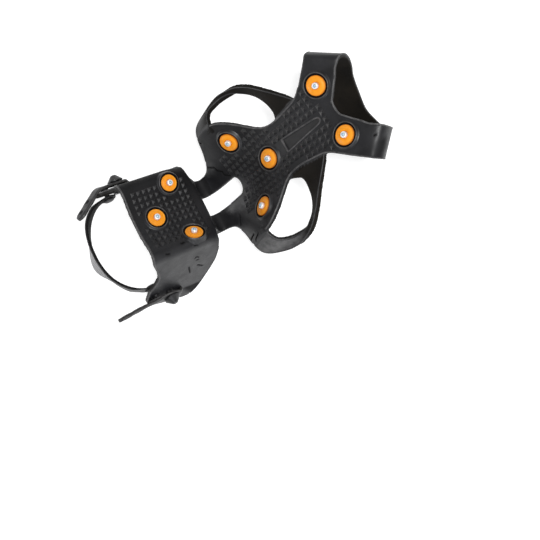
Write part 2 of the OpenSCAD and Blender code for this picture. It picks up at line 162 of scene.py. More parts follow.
def heel_lat(s, ta):
    k = np.clip((s - 38) / 19, 0, 1)
    w = np.clip((ta - 29) / 20, 0, 1)
    k = 0.85 * k * k * (3 - 2 * k) * (1 - w * w * (3 - 2 * w))
    return [np.interp(ta, HT, c) * (1 - k) + np.interp(ta, HT, c0) * k for c, c0 in ((HY, HY0), (HN, HN0), (HA, HA0))]


def heel_pt(s, t, d=0.0):
    s, t = np.broadcast_arrays(np.asarray(s, float), np.asarray(t, float))
    g = np.where(t < 0, -1.0, 1.0)
    ta = np.abs(t)
    y, n, a = heel_lat(s, ta)
    # the plate is pushed down a little beside the right stud
    e = ta - 21.5
    w = np.where(t < 0, 0.21 * np.exp(-((s - 37.5) ** 2 + e ** 2) / 110), 0.0)
    n, a = n + e * w, a + w * (1 - e ** 2 / 55)
    return heel_world(s, g * (y + d * np.sin(a)), n - d * np.cos(a))


HF = smooth_table([(a, HLEN + b) for a, b in [
    (-10, 0), (0, 0), (8, -0.3), (12, -0.5), (16, -0.9), (20, -1.6), (24, -2.2), (28, -2.7), (32, -1.9), (36, -0.9), (40, 0.1), (44, 0.3),
    (48, 0.5), (56, 0.8), (60, 0.3), (64, -0.6), (68, -1.6), (72, -2.9), (77, -4.6), (82, -6.3), (88, -8.5), (93, -11.5), (95.5, -14),
    (97, -18)]], 0, TIP_T, 1.6)
HR = smooth_table([(-10, 0), (0, 0), (20, -0.2), (28, -1.3), (33, -1.5), (WING_T + 2, -0.2), (WING_T + 12, 4.6), (WING_T + 20, 7), (WING_T + 27, 5),
                   (WING_T + 33, 1.5), (TIP_T - 13.5, 1), (TIP_T - 10.5, 4.5), (TIP_T - 8, 12.5), (TIP_T - 3.5, 25), (TIP_T - 1, 33),
                   (TIP_T, 37)], 0, TIP_T, 1.0)


def heel_front(t):
    return np.interp(np.abs(t), *HF)


def heel_rear(t):
    return np.interp(np.abs(t), *HR)


def wing_pt(g, s, w, o):
    """A point in the frame of a wing: along, down, out. g is +1 on the left."""
    y = WING_Y + w * math.cos(WING_A) - o * math.sin(WING_A)
    n = WING_N + w * math.sin(WING_A) + o * math.cos(WING_A)
    return heel_world(s, g * y, n)


# legs
LEG_S = 70.0
LEG_END = (float(np.interp(LEG_S, FS, FX)), float(np.interp(LEG_S, FS, FZ)), math.degrees(float(np.interp(LEG_S, FS, FA))))
STEP_A = -100.0
LEG_L1 = 4.5
LEG_L2 = 10.0
LEG_L3 = 12.0
FLAT_A = 4.0


def arc_end(p, a0, a1, l):
    r = l * 180 / (math.pi * (a1 - a0))
    s = lambda v: math.sin(math.radians(v))
    c = lambda v: math.cos(math.radians(v))
    return p[0] + r * (s(a1) - s(a0)), p[1] - r * (c(a1) - c(a0))


LEG_P0 = ((HLEN - 3.5) * C45, (3.5 - HLEN) * C45)
LEG_P1 = arc_end(LEG_P0, -45, STEP_A, LEG_L1)
LEG_D2 = arc_end(arc_end((0, 0), STEP_A, FLAT_A, LEG_L2), FLAT_A, LEG_END[2], LEG_L3)
_m = np.array([[math.cos(math.radians(STEP_A)), math.cos(math.radians(LEG_END[2]))],
               [math.sin(math.radians(STEP_A)), math.sin(math.radians(LEG_END[2]))]])
LEG_LB, LEG_LF = np.linalg.solve(_m, [LEG_END[0] - LEG_P1[0] - LEG_D2[0], LEG_END[1] - LEG_P1[1] - LEG_D2[1]])
LEG_LEN = LEG_L1 + LEG_LB + LEG_L2 + LEG_L3 + LEG_LF
LV, LX, LZ, LA = chain([(0, -45), (LEG_L1, STEP_A), (LEG_L1 + LEG_LB, STEP_A), (LEG_L1 + LEG_LB + LEG_L2, FLAT_A),
                        (LEG_L1 + LEG_LB + LEG_L2 + LEG_L3, LEG_END[2]), (LEG_LEN + 12, LEG_END[2])])
LX = LX + LEG_P0[0]
LZ = LZ + LEG_P0[1]


def leg_pt(v, u, d=0.0):
    """v runs from the heel plate (0) to the sole web, u from the inner edge (0) to the outer edge (1)."""
    v, u = np.broadcast_arrays(np.asarray(v, float), np.asarray(u, float))
    k = np.clip(v / LEG_LEN, 0, 1)
    e = k * k * (3 - 2 * k)
    se = np.maximum(LEG_S - (LEG_LEN - v), 46.0)
    ease = np.clip(v / (LEG_LEN - LEG_S + 46), 0, 1)
    t0 = (8.2 + (slot(46) - 8.2) * ease) * (se <= 46) + slot(se) * (se > 46)
    t1 = (22.8 + (fw(46) - 22.8) * ease) * (se <= 46) + fw(se) * (se > 46)
    t = t0 + (t1 - t0) * u
    hy, hn, ha = heel_lat(HLEN - 3.5, t)
    fy, fn, fa = fore_lat(se, t)
    return bent(np.interp(v, LV, LX), np.interp(v, LV, LZ), np.interp(v, LV, LA),
                hy + (fy - hy) * e, hn + (fn - hn) * e, ha + (fa - ha) * e, 1.0, d)


# ribbons of the forefoot, given by two edges on the middle of the sheet
def catmull(p, k):
    p = np.asarray(p, float)
    m = len(p) - 1
    out = []
    for i in range(m):
        a, b, c, d = p[max(i - 1, 0)], p[i], p[i + 1], p[min(i + 2, m)]
        for j in range(k):
            t = j / k
            out.append(0.5 * (2 * b + (c - a) * t + (2 * a - 5 * b + 4 * c - d) * t * t + (3 * b - a - 3 * c + d) * t ** 3))
    out.append(p[m])
    return np.array(out)


def fp(s, t, d=1.6):
    return tuple(float(v) for v in fore_pt(s, t, d))


LOOP_IN = catmull([fp(102, 42), fp(103, 47), (78.3, 53.7, -35.2), (85.6, 57.7, -37.7), (95.8, 58.6, -38.3), (107, 55.1, -37.8),
                   (115.8, 47.1, -35.4), (120.9, 37, -33.7), (122.4, 27.5, -32.7), fp(146, 17.8)], 8)
# the right loop's root is rounder
LOOP_IN_R = catmull([fp(102, 42), fp(103, 47), (78.7, 53.3, -36.1), (87.2, 57.1, -38.8), (98.7, 57.1, -39.4), (107.9, 53.4, -38.4),
                     (114.3, 46.7, -35.3), (117.7, 37.3, -33.5), (117.3, 25.5, -32.3), fp(131.5, 20.8)], 8)
LOOP_OUT = catmull([fp(82, 42), fp(81, 47), (62, 54, -51), (71, 59.5, -50.5), (87.5, 64.5, -44.5), (103, 62, -35), (115, 53.5, -26),
                    (126, 41.5, -20), (136, 30, -18.2), fp(170.5, 19.5)], 8)
TOE_IN = catmull([fp(192, 5.5), fp(198, 12.5), fp(203, 18), fp(207, 23), (183.5, 27, -6), (187.2, 28.1, -11.4), (188.1, 27.1, -20.5),
                  (186.6, 24.3, -31.4), (183.5, 20.5, -43), (181, 11.5, -53), (179, 0, -57.3), (181, -11.5, -53)], 8)[:-7]
TOE_OUT = catmull([fp(172, 22.5), fp(179.5, 30.4), fp(186, 36.3), (161.5, 40.2, -7.0), (163, 42.0, -6.9), (165.8, 43.8, -11.9),
                   (166.5, 44.2, -20.3), (165.1, 41.7, -32.6), (162.5, 33.3, -48.5), (157, 17, -63), (154, 0, -68.3), (157, -17, -63)], 8)[:-7]
# the right arm is pulled a little further forward
TOE_IN_R = catmull([fp(192, 5.5), fp(198, 12.5), fp(203, 18), fp(207, 23), (184.4, 27.4, -6.3), (187.4, 29.6, -11.3), (188.5, 29.5, -20.5),
                    (186.8, 26.1, -31.3), (183.5, 20.5, -43), (181, 11.5, -53), (179, 0, -57.3), (181, -11.5, -53)], 8)[:-7]
TOE_OUT_R = catmull([fp(172, 22.5), fp(179.5, 30.4), fp(187.5, 37.2), (165.4, 42.4, -7.2), (168, 44.6, -7.2), (171.6, 46.5, -12.2),
                     (172.8, 45.9, -20.7), (171.1, 41.7, -33.1), (164.4, 32.6, -48.7), (157, 17, -63), (154, 0, -68.3), (157, -17, -63)], 8)[:-7]
FLIP = np.array([1.0, -1.0, 1.0])


# ---------------------------------------------------------------- mesh tools
class Mesh:
    def __init__(self):
        self.v, self.f, self.n = [], [], 0

    def add(self, v, f):
        v = np.asarray(v, float).reshape(-1, 3)
        self.v.append(v)
        self.f += [tuple(int(i) + self.n for i in q) for q in f]
        self.n += len(v)

    def verts(self):
        return np.concatenate(self.v) if self.v else np.zeros((0, 3))


def slab(A, B):
    """Closed slab between an outer grid A and an inner grid B; rows toward the toe, columns to the left."""
    nr, nc = A.shape[:2]
    N = nr * nc
    o = np.arange(N).reshape(nr, nc)
    u = o + N
    f = []
    for i in range(nr - 1):
        for j in range(nc - 1):
            f.append((o[i, j], o[i + 1, j], o[i + 1, j + 1], o[i, j + 1]))
            f.append((u[i, j], u[i, j + 1], u[i + 1, j + 1], u[i + 1, j]))
    for j in range(nc - 1):
        f.append((o[0, j], o[0, j + 1], u[0, j + 1], u[0, j]))
        f.append((o[-1, j], u[-1, j], u[-1, j + 1], o[-1, j + 1]))
    for i in range(nr - 1):
        f.append((o[i, 0], u[i, 0], u[i + 1, 0], o[i + 1, 0]))
        f.append((o[i, -1], o[i + 1, -1], u[i + 1, -1], u[i, -1]))
    return np.concatenate([A.reshape(-1, 3), B.reshape(-1, 3)]), f


def flip(vf):
    v, f = vf
    return v * FLIP, [tuple(reversed(q)) for q in f]


def unit(a):
    return a / np.maximum(np.linalg.norm(a, axis=-1, keepdims=True), 1e-9)


def ribbon(a, b, cols=8, r=1.6, arch=0.0):
    """Middle grid and normals of a ribbon between two edges."""
    u = np.linspace(0, 1, cols + 1)[None, :, None]
    mid = a[:, None, :] * (1 - u) + b[:, None, :] * u
    ds = np.gradient(mid, axis=0)
    du = np.gradient(mid, axis=1)
    n = unit(np.cross(du, ds))
    mid = mid + arch * (1 - (2 * u - 1) ** 2) * n
    return mid, n


def tube(path, r, sides=8, flat=None, ends=True):
    """Closed tube along a path. r is a number or one per point."""
    path = np.asarray(path, float)
    k = len(path)
    r = np.broadcast_to(np.asarray(r, float), (k,))
    t = unit(np.gradient(path, axis=0))
    up = np.array([0.0, 0.0, 1.0]) if abs(t[0][2]) < 0.9 else np.array([1.0, 0.0, 0.0])
    x = unit(np.cross(t[0], up))
    rows = []
    for i in range(k):
        x = unit(x - t[i] * np.dot(x, t[i]))
        y = np.cross(t[i], x)
        a = np.arange(sides) * 2 * math.pi / sides
        rows.append(path[i] + r[i] * (np.cos(a)[:, None] * x + np.sin(a)[:, None] * y))
    v = np.concatenate(rows)
    f = []
    for i in range(k - 1):
        for j in range(sides):
            j2 = (j + 1) % sides
            f.append((i * sides + j, i * sides + j2, (i + 1) * sides + j2, (i + 1) * sides + j))
    f.append(tuple(reversed(range(sides))))
    f.append(tuple((k - 1) * sides + j for j in range(sides)))
    return v, f


def lathe(profile, sides=64):
    """Closed solid of revolution about Z from (r, z) points; points with r = 0 close on the axis."""
    v, f, rings = [], [], []
    for r, z in profile:
        if r < 1e-6:
            rings.append([len(v)])
            v.append((0, 0, z))
        else:
            rings.append(list(range(len(v), len(v) + sides)))
            for j in range(sides):
                a = 2 * math.pi * j / sides
                v.append((r * math.cos(a), r * math.sin(a), z))
    pairs = list(zip(rings, rings[1:]))
    if len(rings[0]) > 1 and len(rings[-1]) > 1:
        pairs.append((rings[-1], rings[0]))
    for p, q in pairs:
        for j in range(sides):
            j2 = (j + 1) % sides
            if len(p) == 1 and len(q) == 1:
                continue
            if len(p) == 1:
                f.append((p[0], q[j2], q[j]))
            elif len(q) == 1:
                f.append((p[j], p[j2], q[0]))
            else:
                f.append((p[j], p[j2], q[j2], q[j]))
    return np.array(v, float), f


def frame_on(p, n, along=None):
    """3x3 whose columns are x, y and the normal n."""
    n = unit(np.asarray(n, float))
    x = np.array([1.0, 0.0, 0.0]) if along is None else np.asarray(along, float)
    x = unit(x - n * np.dot(x, n))
    return np.stack([x, np.cross(n, x), n], 1)


def make_object(name, v, f, smooth=True, angle=None):
    me = bpy.data.meshes.new(name)
    me.from_pydata([tuple(p) for p in v], [], f)
    me.validate()
    me.update()
    ob = bpy.data.objects.new(name, me)
    bpy.context.scene.collection.objects.link(ob)
    if smooth:
        me.polygons.foreach_set("use_smooth", [True] * len(me.polygons))
        if angle is not None:
            me.set_sharp_from_angle(angle=math.radians(angle))
    return ob


def recalc(ob):
    import bmesh
    bm = bmesh.new()
    bm.from_mesh(ob.data)
    bmesh.ops.recalc_face_normals(bm, faces=bm.faces)
    bm.to_mesh(ob.data)
    bm.free()


def set_attr(ob, name, values):
    a = ob.data.attributes.get(name) or ob.data.attributes.new(name, "FLOAT", "POINT")
    a.data.foreach_set("value", np.asarray(values, np.float32))


# ---------------------------------------------------------------- studs: places
def place(pt, s, t):
    p = np.asarray(pt(s, t, 0.0), float)
    q = np.asarray(pt(s, t, 1.0), float)
    return p, unit(p - q)


STUDS = {
    "toe_left": (fore_pt, 188, 20.5, 14.5, "forefoot"),
    "toe_right": (fore_pt, 188, -20.5, 14.5, "forefoot"),
    "mid": (fore_pt, 125, 0.0, 14.5, "forefoot"),
    "ball_left": (fore_pt, 105, 29, 14.5, "forefoot"),
    "ball_right": (fore_pt, 105, -29, 14.5, "forefoot"),
    "heel_left": (heel_pt, 37.5, 21.5, 12.5, "heel"),
    "heel_right": (heel_pt, 37.5, -21.5, 13.2, "heel"),
    "heel_rear": (heel_pt, 17.5, 0.0, 13.2, "heel"),
}

# ---------------------------------------------------------------- rubber body
raw = Mesh()
mids, norms, tags = [], [], []


def note(A, B, tag="web"):
    m = (A + B) / 2
    mids.append(m.reshape(-1, 3))
    tags.extend([tag] * (m.size // 3))
    norms.append(unit(A - B).reshape(-1, 3))


ws = np.concatenate([np.linspace(LEG_S, 84, 18)[:-1], 84 + 5 * np.sin(np.radians(np.arange(0, 90, 7.5))), np.linspace(89, 191, 90)])
wu = np.linspace(0, 1, 29)
tt = slot(ws)[:, None] + (fw(ws) - slot(ws))[:, None] * wu[None, :]
A, B = fore_pt(ws[:, None], tt), fore_pt(ws[:, None], tt, THK)
A[:, 0, 1] = np.where(slot(ws) < 0.01, -0.2, A[:, 0, 1])
B[:, 0, 1] = np.where(slot(ws) < 0.01, -0.2, B[:, 0, 1])
raw.add(*slab(A, B)); raw.add(*flip(slab(A, B)))
note(A, B); note(A * FLIP, B * FLIP)

lv = np.linspace(-0.6, LEG_LEN + 0.6, 60)
A, B = leg_pt(lv[:, None], np.linspace(0, 1, 12)[None, :]), leg_pt(lv[:, None], np.linspace(0, 1, 12)[None, :], THK)
raw.add(*slab(A, B)); raw.add(*flip(slab(A, B)))
note(A, B); note(A * FLIP, B * FLIP)

ht = np.linspace(-TIP_T, TIP_T, 150)
hs = heel_rear(ht)[None, :] + (heel_front(ht) - heel_rear(ht))[None, :] * np.linspace(0, 1, 40)[:, None]
A, B = heel_pt(hs, ht[None, :]), heel_pt(hs, ht[None, :], THK)
raw.add(*slab(A, B))
note(A, B)

for a, b, sides, tag in ((LOOP_IN, LOOP_OUT, (1,), "loop_left"), (LOOP_IN_R, LOOP_OUT, (-1,), "loop_right"),
                         (TOE_IN, TOE_OUT, (1,), "toe"), (TOE_IN_R, TOE_OUT_R, (-1,), "toe")):
    mid, n = ribbon(a, b, 12)
    if np.mean(n[:3, :, 2]) < 0:
        n = -n
    A, B = mid + n * THK / 2, mid - n * THK / 2
    v, f = slab(A, B)
    for g in sides:
        k = np.array([1.0, g, 1.0])
        raw.add(*((v, f) if g > 0 else flip((v, f))))
        note(A * k, B * k, tag)

# rounded lip along the front edge of the heel plate
LIP_R = 3.6
lt = np.linspace(-44, 44, 110)
ph = np.radians(np.linspace(-8, 66, 12))[:, None]
reach = np.clip((44 - np.abs(lt)) / 16, 0.0, 1)
reach = (0.04 + 0.96 * reach * reach * (3 - 2 * reach))[None, :]
s0 = heel_front(lt)[None, :] - 0.3
ls, ld = s0 + LIP_R * np.sin(ph) * reach, LIP_R * (1 - np.cos(ph)) * reach
A = heel_pt(ls, lt[None, :], ld)
B = heel_pt(ls - (THK - 0.1) * np.sin(ph) * reach, lt[None, :], ld + (THK - 0.1) * (1 - (1 - np.cos(ph)) * reach))
raw.add(*slab(A, B))
note(A, B)

ob = make_object("raw_rubber", raw.verts(), raw.f, smooth=False)
recalc(ob)
mod = ob.modifiers.new("remesh", "REMESH")
mod.mode = "VOXEL"
mod.voxel_size = 0.8
dg = bpy.context.evaluated_depsgraph_get()
me = bpy.data.meshes.new_from_object(ob.evaluated_get(dg))
bpy.data.objects.remove(ob)
V = np.empty(len(me.vertices) * 3)
me.vertices.foreach_get("co", V)
V = V.reshape(-1, 3)
E = np.empty(len(me.edges) * 2, int)
me.edges.foreach_get("vertices", E)
E = E.reshape(-1, 2)
FQ = [tuple(p.vertices) for p in me.polygons]
deg = np.bincount(E.ravel(), minlength=len(V)).astype(float)[:, None]


def laplace(V, lam):
    acc = np.zeros_like(V)
    for k in range(3):
        acc[:, k] = np.bincount(E[:, 0], V[E[:, 1], k], len(V)) + np.bincount(E[:, 1], V[E[:, 0], k], len(V))
    return V + lam * (acc / np.maximum(deg, 1) - V)


for _ in range(6):
    V = laplace(V, 0.55)
    V = laplace(V, -0.57)
V = laplace(V, 0.5)

# flat seats under the washers and the stud flanges
for name, (pt, s, t, d, body) in STUDS.items():
    p, n = place(pt, s, t)
    q = V - p
    z = q @ n
    r = np.linalg.norm(q - z[:, None] * n, axis=1)
    k = np.clip((d / 2 + 3.2 - r) / 2.2, 0, 1)
    k = k * k * (3 - 2 * k)
    near = (r < d / 2 + 3.2) & (np.abs(z + THK / 2) < 4)
    goal = np.where(z > -THK / 2, -0.15, -THK)
    V = V + np.where(near, k * (goal - z), 0)[:, None] * n

# inside or outside face of each point
kd = KDTree(sum(len(m) for m in mids))
allm, alln = np.concatenate(mids), np.concatenate(norms)
for i, p in enumerate(allm):
    kd.insert(p, i)
kd.balance()
me.vertices.foreach_set("co", V.ravel())
me.update()
VN = np.empty(len(V) * 3)
me.vertices.foreach_get("normal", VN)
VN = VN.reshape(-1, 3)
near = np.array([kd.find(p)[1] for p in V])
side = np.einsum("ij,ij->i", VN, alln[near])
inner = np.clip(0.5 - side, 0, 1)
bpy.data.meshes.remove(me)
tag = np.array(tags)[near]
fade = np.clip((V[:, 0] - 88) / 18, 0, 1)
fade = fade * fade * (3 - 2 * fade)
edge = np.clip((V[:, 0] - 128) / 10, 0, 1)
# painted shade: the far (left) loop from x 62 on and the front of the near (right) loop take the dark brown inside tone
# on every face
inner = np.where(tag == "loop_left", np.maximum(inner, 0.95 * np.clip((V[:, 0] - 62) / 14, 0, 1)), inner)
inner = np.where(tag == "loop_right", np.maximum(inner, 0.95 * fade), inner)
# painted sheen: a lighter grey on the outer face of the rear part of the near (right) loop
sheen = np.where(tag == "loop_right", (1 - fade) * np.clip((-V[:, 1] - 42) / 6, 0, 1) * np.clip(side * 1.6, 0, 1), 0)
# painted shade: the rubber round and under each washer, out to 1.6 mm past its edge, is darkened as the shade of the
# gap around it
dark = np.zeros(len(V))
for name, (pt, s, t, d, bd) in STUDS.items():
    p, n = place(pt, s, t)
    q = V - p
    z = q @ n
    r = np.linalg.norm(q - z[:, None] * n, axis=1)
    dark = np.maximum(dark, np.where(np.abs(z) < 1.6, np.clip((d / 2 + 1.6 - r) / 0.5, 0, 1), 0))



def ease(v):
    v = np.clip(v, 0, 1)
    return v * v * (3 - 2 * v)


# painted shade on the far half of the heel and of the ball, a painted shadow under the right wing's tab, and painted
# shade on the legs where they bend under the heel plate and on the fold of the right toe arm
painted_shade = 0.6 * ease((V[:, 1] + 10) / 24) * (V[:, 0] < 45)
painted_shade = np.maximum(painted_shade, 0.3 * ease((V[:, 1] - 2) / 22) * ease((V[:, 0] - 45) / 6) * ease((116 - V[:, 0]) / 14))
low = (V - np.array(heel_world(0, 0, 0))) @ np.array([C45, 0, C45])
painted_shade = np.maximum(painted_shade, 0.85 * ease((-43.5 - low) / 3.0) * (V[:, 1] < 0) * (V[:, 0] < 30) * ease((V[:, 0] + 12) / 6))
painted_shade = np.maximum(painted_shade, 0.5 * ease((46 - V[:, 0]) / 5) * (V[:, 2] < -52) * (np.abs(V[:, 1]) < 28))
painted_shade = np.maximum(painted_shade, 0.7 * np.exp(-((V[:, 2] + 8.5) / 3.4) ** 2) * ease((-V[:, 1] - 34) / 4) * (V[:, 0] > 150))
dark = np.maximum(dark, painted_shade)
# a lighter tone on the right (near) side of the legs and the sole beside them
near_side_lighter = 0.10 * ease((-V[:, 1] - 8) / 8) * ease((V[:, 0] - 42) / 5) * ease((78 - V[:, 0]) / 12)

# small nicks and folds pressed into the rubber
MARKS = [
    (0.55, 0.55, [(51.8, 25.8, -61.1), (57.2, 22.2, -58.1), (57.8, 19.0, -58.6), (61.5, 15.8, -57.0), (61.3, 13.1, -57.7), (65.9, 9.4, -55.6)]),
    (0.75, 0.7, [(57.1, -42.3, -51.1), (62.9, -40.5, -45.7)]),
    (0.65, 0.7, [(62.6, -45.2, -43.1), (67.6, -42.6, -39.4)]),
    (0.6, 0.5, [(56.4, -40.8, -52.4), (57.3, -44.0, -50.1)]),
    (0.45, 0.4, [(57.3, -19.9, -58.7), (54.1, -26.9, -59.1)]),
    (0.42, 0.3, [(18.0, -36.2, -32.6), (19.8, -35.7, -32.2), (20.3, -36.4, -35.6)]),
    (0.5, 0.3, [(17.2, -37.0, -35.9), (18.6, -37.2, -37.9)]),
    (0.55, 0.4, [(14.2, -39.3, -43.0), (15.5, -40.4, -49.6)]),
    (0.5, 0.4, [(9.7, -38.8, -36.2), (6.1, -41.2, -43.8)]),
    (0.7, 0.5, [(20.2, -25.5, -12.8), (22.0, -25.7, -14.6)]),
    (0.55, 0.4, [(26.1, -30.0, -20.0), (27.9, -30.3, -22.1)]),
    (0.6, 0.4, [(9.7, -29.1, -2.9), (11.6, -29.4, -5.1)]),
    (0.7, 0.4, [(176.5, -32.1, -4.6), (178.2, -32.3, -4.6)]),
    (0.8, 0.6, [(57.4, 43.1, -50.4), (59.1, 41.5, -49.0)]),
]
cracks = []
vk = KDTree(len(V))
for i, q in enumerate(V):
    vk.insert(q, i)
vk.balance()
for w, depth, line in MARKS:
    line = np.array(line, float)
    seg = np.concatenate([[0], np.cumsum(np.linalg.norm(np.diff(line, axis=0), axis=1))])
    q = np.linspace(0, seg[-1], max(int(seg[-1] / 0.7), 3) + 1)
    line = np.stack([np.interp(q, seg, line[:, c]) for c in range(3)], 1)
    line += rng.normal(0, 0.12, line.shape)
    hit = [vk.find_n(q, 5) for q in line]
    on = np.array([np.mean([V[h[1]] for h in hs], axis=0) for hs in hit])
    nn = unit(np.array([np.mean([VN[h[1]] for h in hs], axis=0) for hs in hit]))
    line = line + nn * np.einsum("ij,ij->i", on - line, nn)[:, None]
    r = w * 0.62 * (0.35 + 0.65 * np.sin(np.linspace(0.25, math.pi - 0.25, len(line))))
    cracks.append((line - nn * 0.22, r))
    best = np.full(len(V), 9.0)
    for a, b in zip(line[:-1], line[1:]):
        ab = b - a
        k = np.clip(((V - a) @ ab) / max(ab @ ab, 1e-9), 0, 1)
        best = np.minimum(best, np.linalg.norm(V - a - k[:, None] * ab, axis=1))
    k = np.clip(1.3 - best / (w + 0.25), 0, 1)
    dark = np.maximum(dark, 0.8 * k)
    V = V - VN * (depth * 0.6 * k)[:, None]

body = Mesh()
body.add(V, FQ)
inner_all = [inner]
# the lighter-grey mark: partly wear, partly painted highlight and painted sheen
wear_and_highlight_all = [np.maximum(0.8 * sheen, near_side_lighter)]
dark_all = [dark]


def extra(vf, wear_and_highlight=0.0, inner=0.0):
    body.add(*vf)
    inner_all.append(np.full(len(vf[0]), inner))
    wear_and_highlight_all.append(np.full(len(vf[0]), wear_and_highlight))
    dark_all.append(np.zeros(len(vf[0])))


def both(vf, wear_and_highlight=0.0):
    extra(vf, wear_and_highlight)
    extra(flip(vf), wear_and_highlight)


for line, r in cracks:
    v, f = tube(line, r, 6)
    body.add(v, f)
    inner_all.append(np.zeros(len(v)))
    wear_and_highlight_all.append(np.zeros(len(v)))
    dark_all.append(np.ones(len(v)))


# thin beads along the edges of the moulding
def resample(path, step):
    path = np.asarray(path, float)
    d = np.concatenate([[0], np.cumsum(np.linalg.norm(np.diff(path, axis=0), axis=1))])
    n = max(int(d[-1] / step), 3)
    q = np.linspace(0, d[-1], n + 1)
    return np.stack([np.interp(q, d, path[:, k]) for k in range(3)], 1)


# the beads' lighter colour is a painted highlight along the edges
BEAD = 0.58
s = np.linspace(104, 176, 160)
both(tube(resample(fore_pt(s, fw(s) - 0.5, 0.1), 1.2), BEAD), 1.0)
s = np.linspace(LEG_S + 0.5, 82, 60)
both(tube(resample(fore_pt(s, fw(s) - 0.6, 0.3), 1.2), BEAD * 0.9), 0.6)
s = np.concatenate([np.linspace(LEG_S + 0.5, 84, 30), 84 + 5.6 * np.sin(np.radians(np.arange(5, 91, 5)))])
sl = np.where(s <= 84, slot(np.minimum(s, 84)) + 0.6, 7.6 * np.sqrt(np.clip(1 - ((s - 84) / 5.6) ** 2, 0, 1)))
half = fore_pt(s, sl, 0.3)
extra(tube(resample(np.concatenate([half, (half * FLIP)[::-1]]), 1.2), BEAD * 0.85), 0.4)
# heel plate and wings
t = np.linspace(-TIP_T + 2, TIP_T - 2, 260)
extra(tube(resample(heel_pt(heel_rear(t) + 0.5, t, 0.15), 1.2), BEAD), 0.8)
t = np.linspace(43, TIP_T - 2, 90)
both(tube(resample(heel_pt(heel_front(t) - 0.6, t, 0.3), 1.2), BEAD * 0.9), 0.5)

# edges of the toe band and of the side loops
def edge_paths(a, b, lo=0, hi=None):
    mid, n = ribbon(a, b, 12)
    if np.mean(n[:3, :, 2]) < 0:
        n = -n
    inw = unit(mid[:, 1] - mid[:, 0])
    inw2 = unit(mid[:, -2] - mid[:, -1])
    e0 = mid[:, 0] + inw * 0.6 + n[:, 0] * (THK / 2 - 0.25)
    e1 = mid[:, -1] + inw2 * 0.6 + n[:, -1] * (THK / 2 - 0.25)
    return e0[lo:hi], e1[lo:hi]


front, rear = edge_paths(TOE_IN, TOE_OUT)
front_r, rear_r = edge_paths(TOE_IN_R, TOE_OUT_R)
notch = fore_pt(np.array([191.2, 190.6, 190.4, 190.6, 191.2]), np.array([4.0, 2.0, 0.0, -2.0, -4.0]), 0.25)
extra(tube(resample(np.concatenate([front[::-1], notch, front_r * FLIP]), 1.2), BEAD), 1.0)
extra(tube(resample(rear[6:], 1.2), BEAD * 0.9), 0.7)
extra(tube(resample(rear_r[6:] * FLIP, 1.2), BEAD * 0.9), 0.7)
for a, g in ((LOOP_IN, 1), (LOOP_IN_R, -1)):
    lin, lout = edge_paths(a, LOOP_OUT)
    k = np.array([1.0, g, 1.0])
    extra(tube(resample(lin[9:-8] * k, 1.2), BEAD * 0.8), 0.2)
    extra(tube(resample(lout[9:-3] * k, 1.2), BEAD * 0.8), 0.25)

# recessed panel on the neck, with a raised outline
PANEL = [(142.3, 0.0), (142.3, 4.4), (143.3, 5.1), (158, 3.9), (170, 2.9), (174.6, 2.3), (176.6, 1.2), (177.1, 0.0)]
loop = [(a, b) for a, b in PANEL] + [(a, -b) for a, b in PANEL[-2:0:-1]]
loop = np.array(loop + [loop[0], loop[1]])
q = catmull(np.column_stack([loop, np.zeros(len(loop))]), 8)
extra(tube(resample(fore_pt(q[:, 0], q[:, 1], 0.05), 0.8), 0.55), 1.0)

# raised rings around the studs, following the sheet
for name, (pt, s0, t0, d, bd) in STUDS.items():
    p, n = place(pt, s0, t0)
    R = d / 2
    e = 0.5
    tx = unit(np.asarray(pt(s0 + e, t0), float) - np.asarray(pt(s0 - e, t0), float))
    M = frame_on(p, n, tx)
    prof = [(R + 1.25, -0.7), (R + 1.3, 0.7), (R + 1.4, 1.15), (R + 1.6, 1.4), (R + 1.85, 1.42), (R + 2.15, 1.2), (R + 2.5, 0.75),
            (R + 3.0, 0.25), (R + 3.7, -0.2), (R + 3.7, -0.9)]
    sides = 72
    th = np.arange(sides) * 2 * math.pi / sides
    rows = []
    for r, h in prof:
        flatp = p + r * (np.cos(th)[:, None] * M[:, 0] + np.sin(th)[:, None] * M[:, 1])
        surf = pt(s0 + r * np.cos(th), t0 + r * np.sin(th))
        k = min(max((r - R - 1.2) / 2.3, 0), 1)
        k = k * k * (3 - 2 * k)
        rows.append(flatp * (1 - k) + surf * k + h * n)
    v = np.concatenate(rows)
    f = []
    nr = len(prof)
    for i in range(nr):
        i2 = (i + 1) % nr
        for j in range(sides):
            j2 = (j + 1) % sides
            f.append((i * sides + j, i2 * sides + j, i2 * sides + j2, i * sides + j2))
    # painted highlight on the crest of the raised lip, painted shade on the wall of the gap next to the washer
    wear_and_highlight = np.repeat([0, 0.0, 0.5, 0.9, 0.9, 0.3, 0, 0, 0, 0], sides)
    body.add(v, f)
    inner_all.append(np.zeros(len(v)))
    wear_and_highlight_all.append(wear_and_highlight)
    dark_all.append(np.repeat([1, 0.9, 0.2, 0, 0, 0, 0, 0, 0, 0], sides))

# grip pyramids
stud_xy = {"fore": [(s0, t0, d) for pt, s0, t0, d, b in STUDS.values() if b == "forefoot"],
           "heel": [(s0, t0, d) for pt, s0, t0, d, b in STUDS.values() if b == "heel"]}


def clear(zone, s0, t0, gap):
    return all(math.hypot(s0 - a, t0 - b) > d / 2 + gap for a, b, d in stud_xy[zone])


def panel_half(s0):
    if s0 < 139.5 or s0 > 179:
        return -1
    return np.interp(s0, [139.5, 142, 158, 174, 179], [7.2, 7.4, 6.2, 4.9, 3.6])


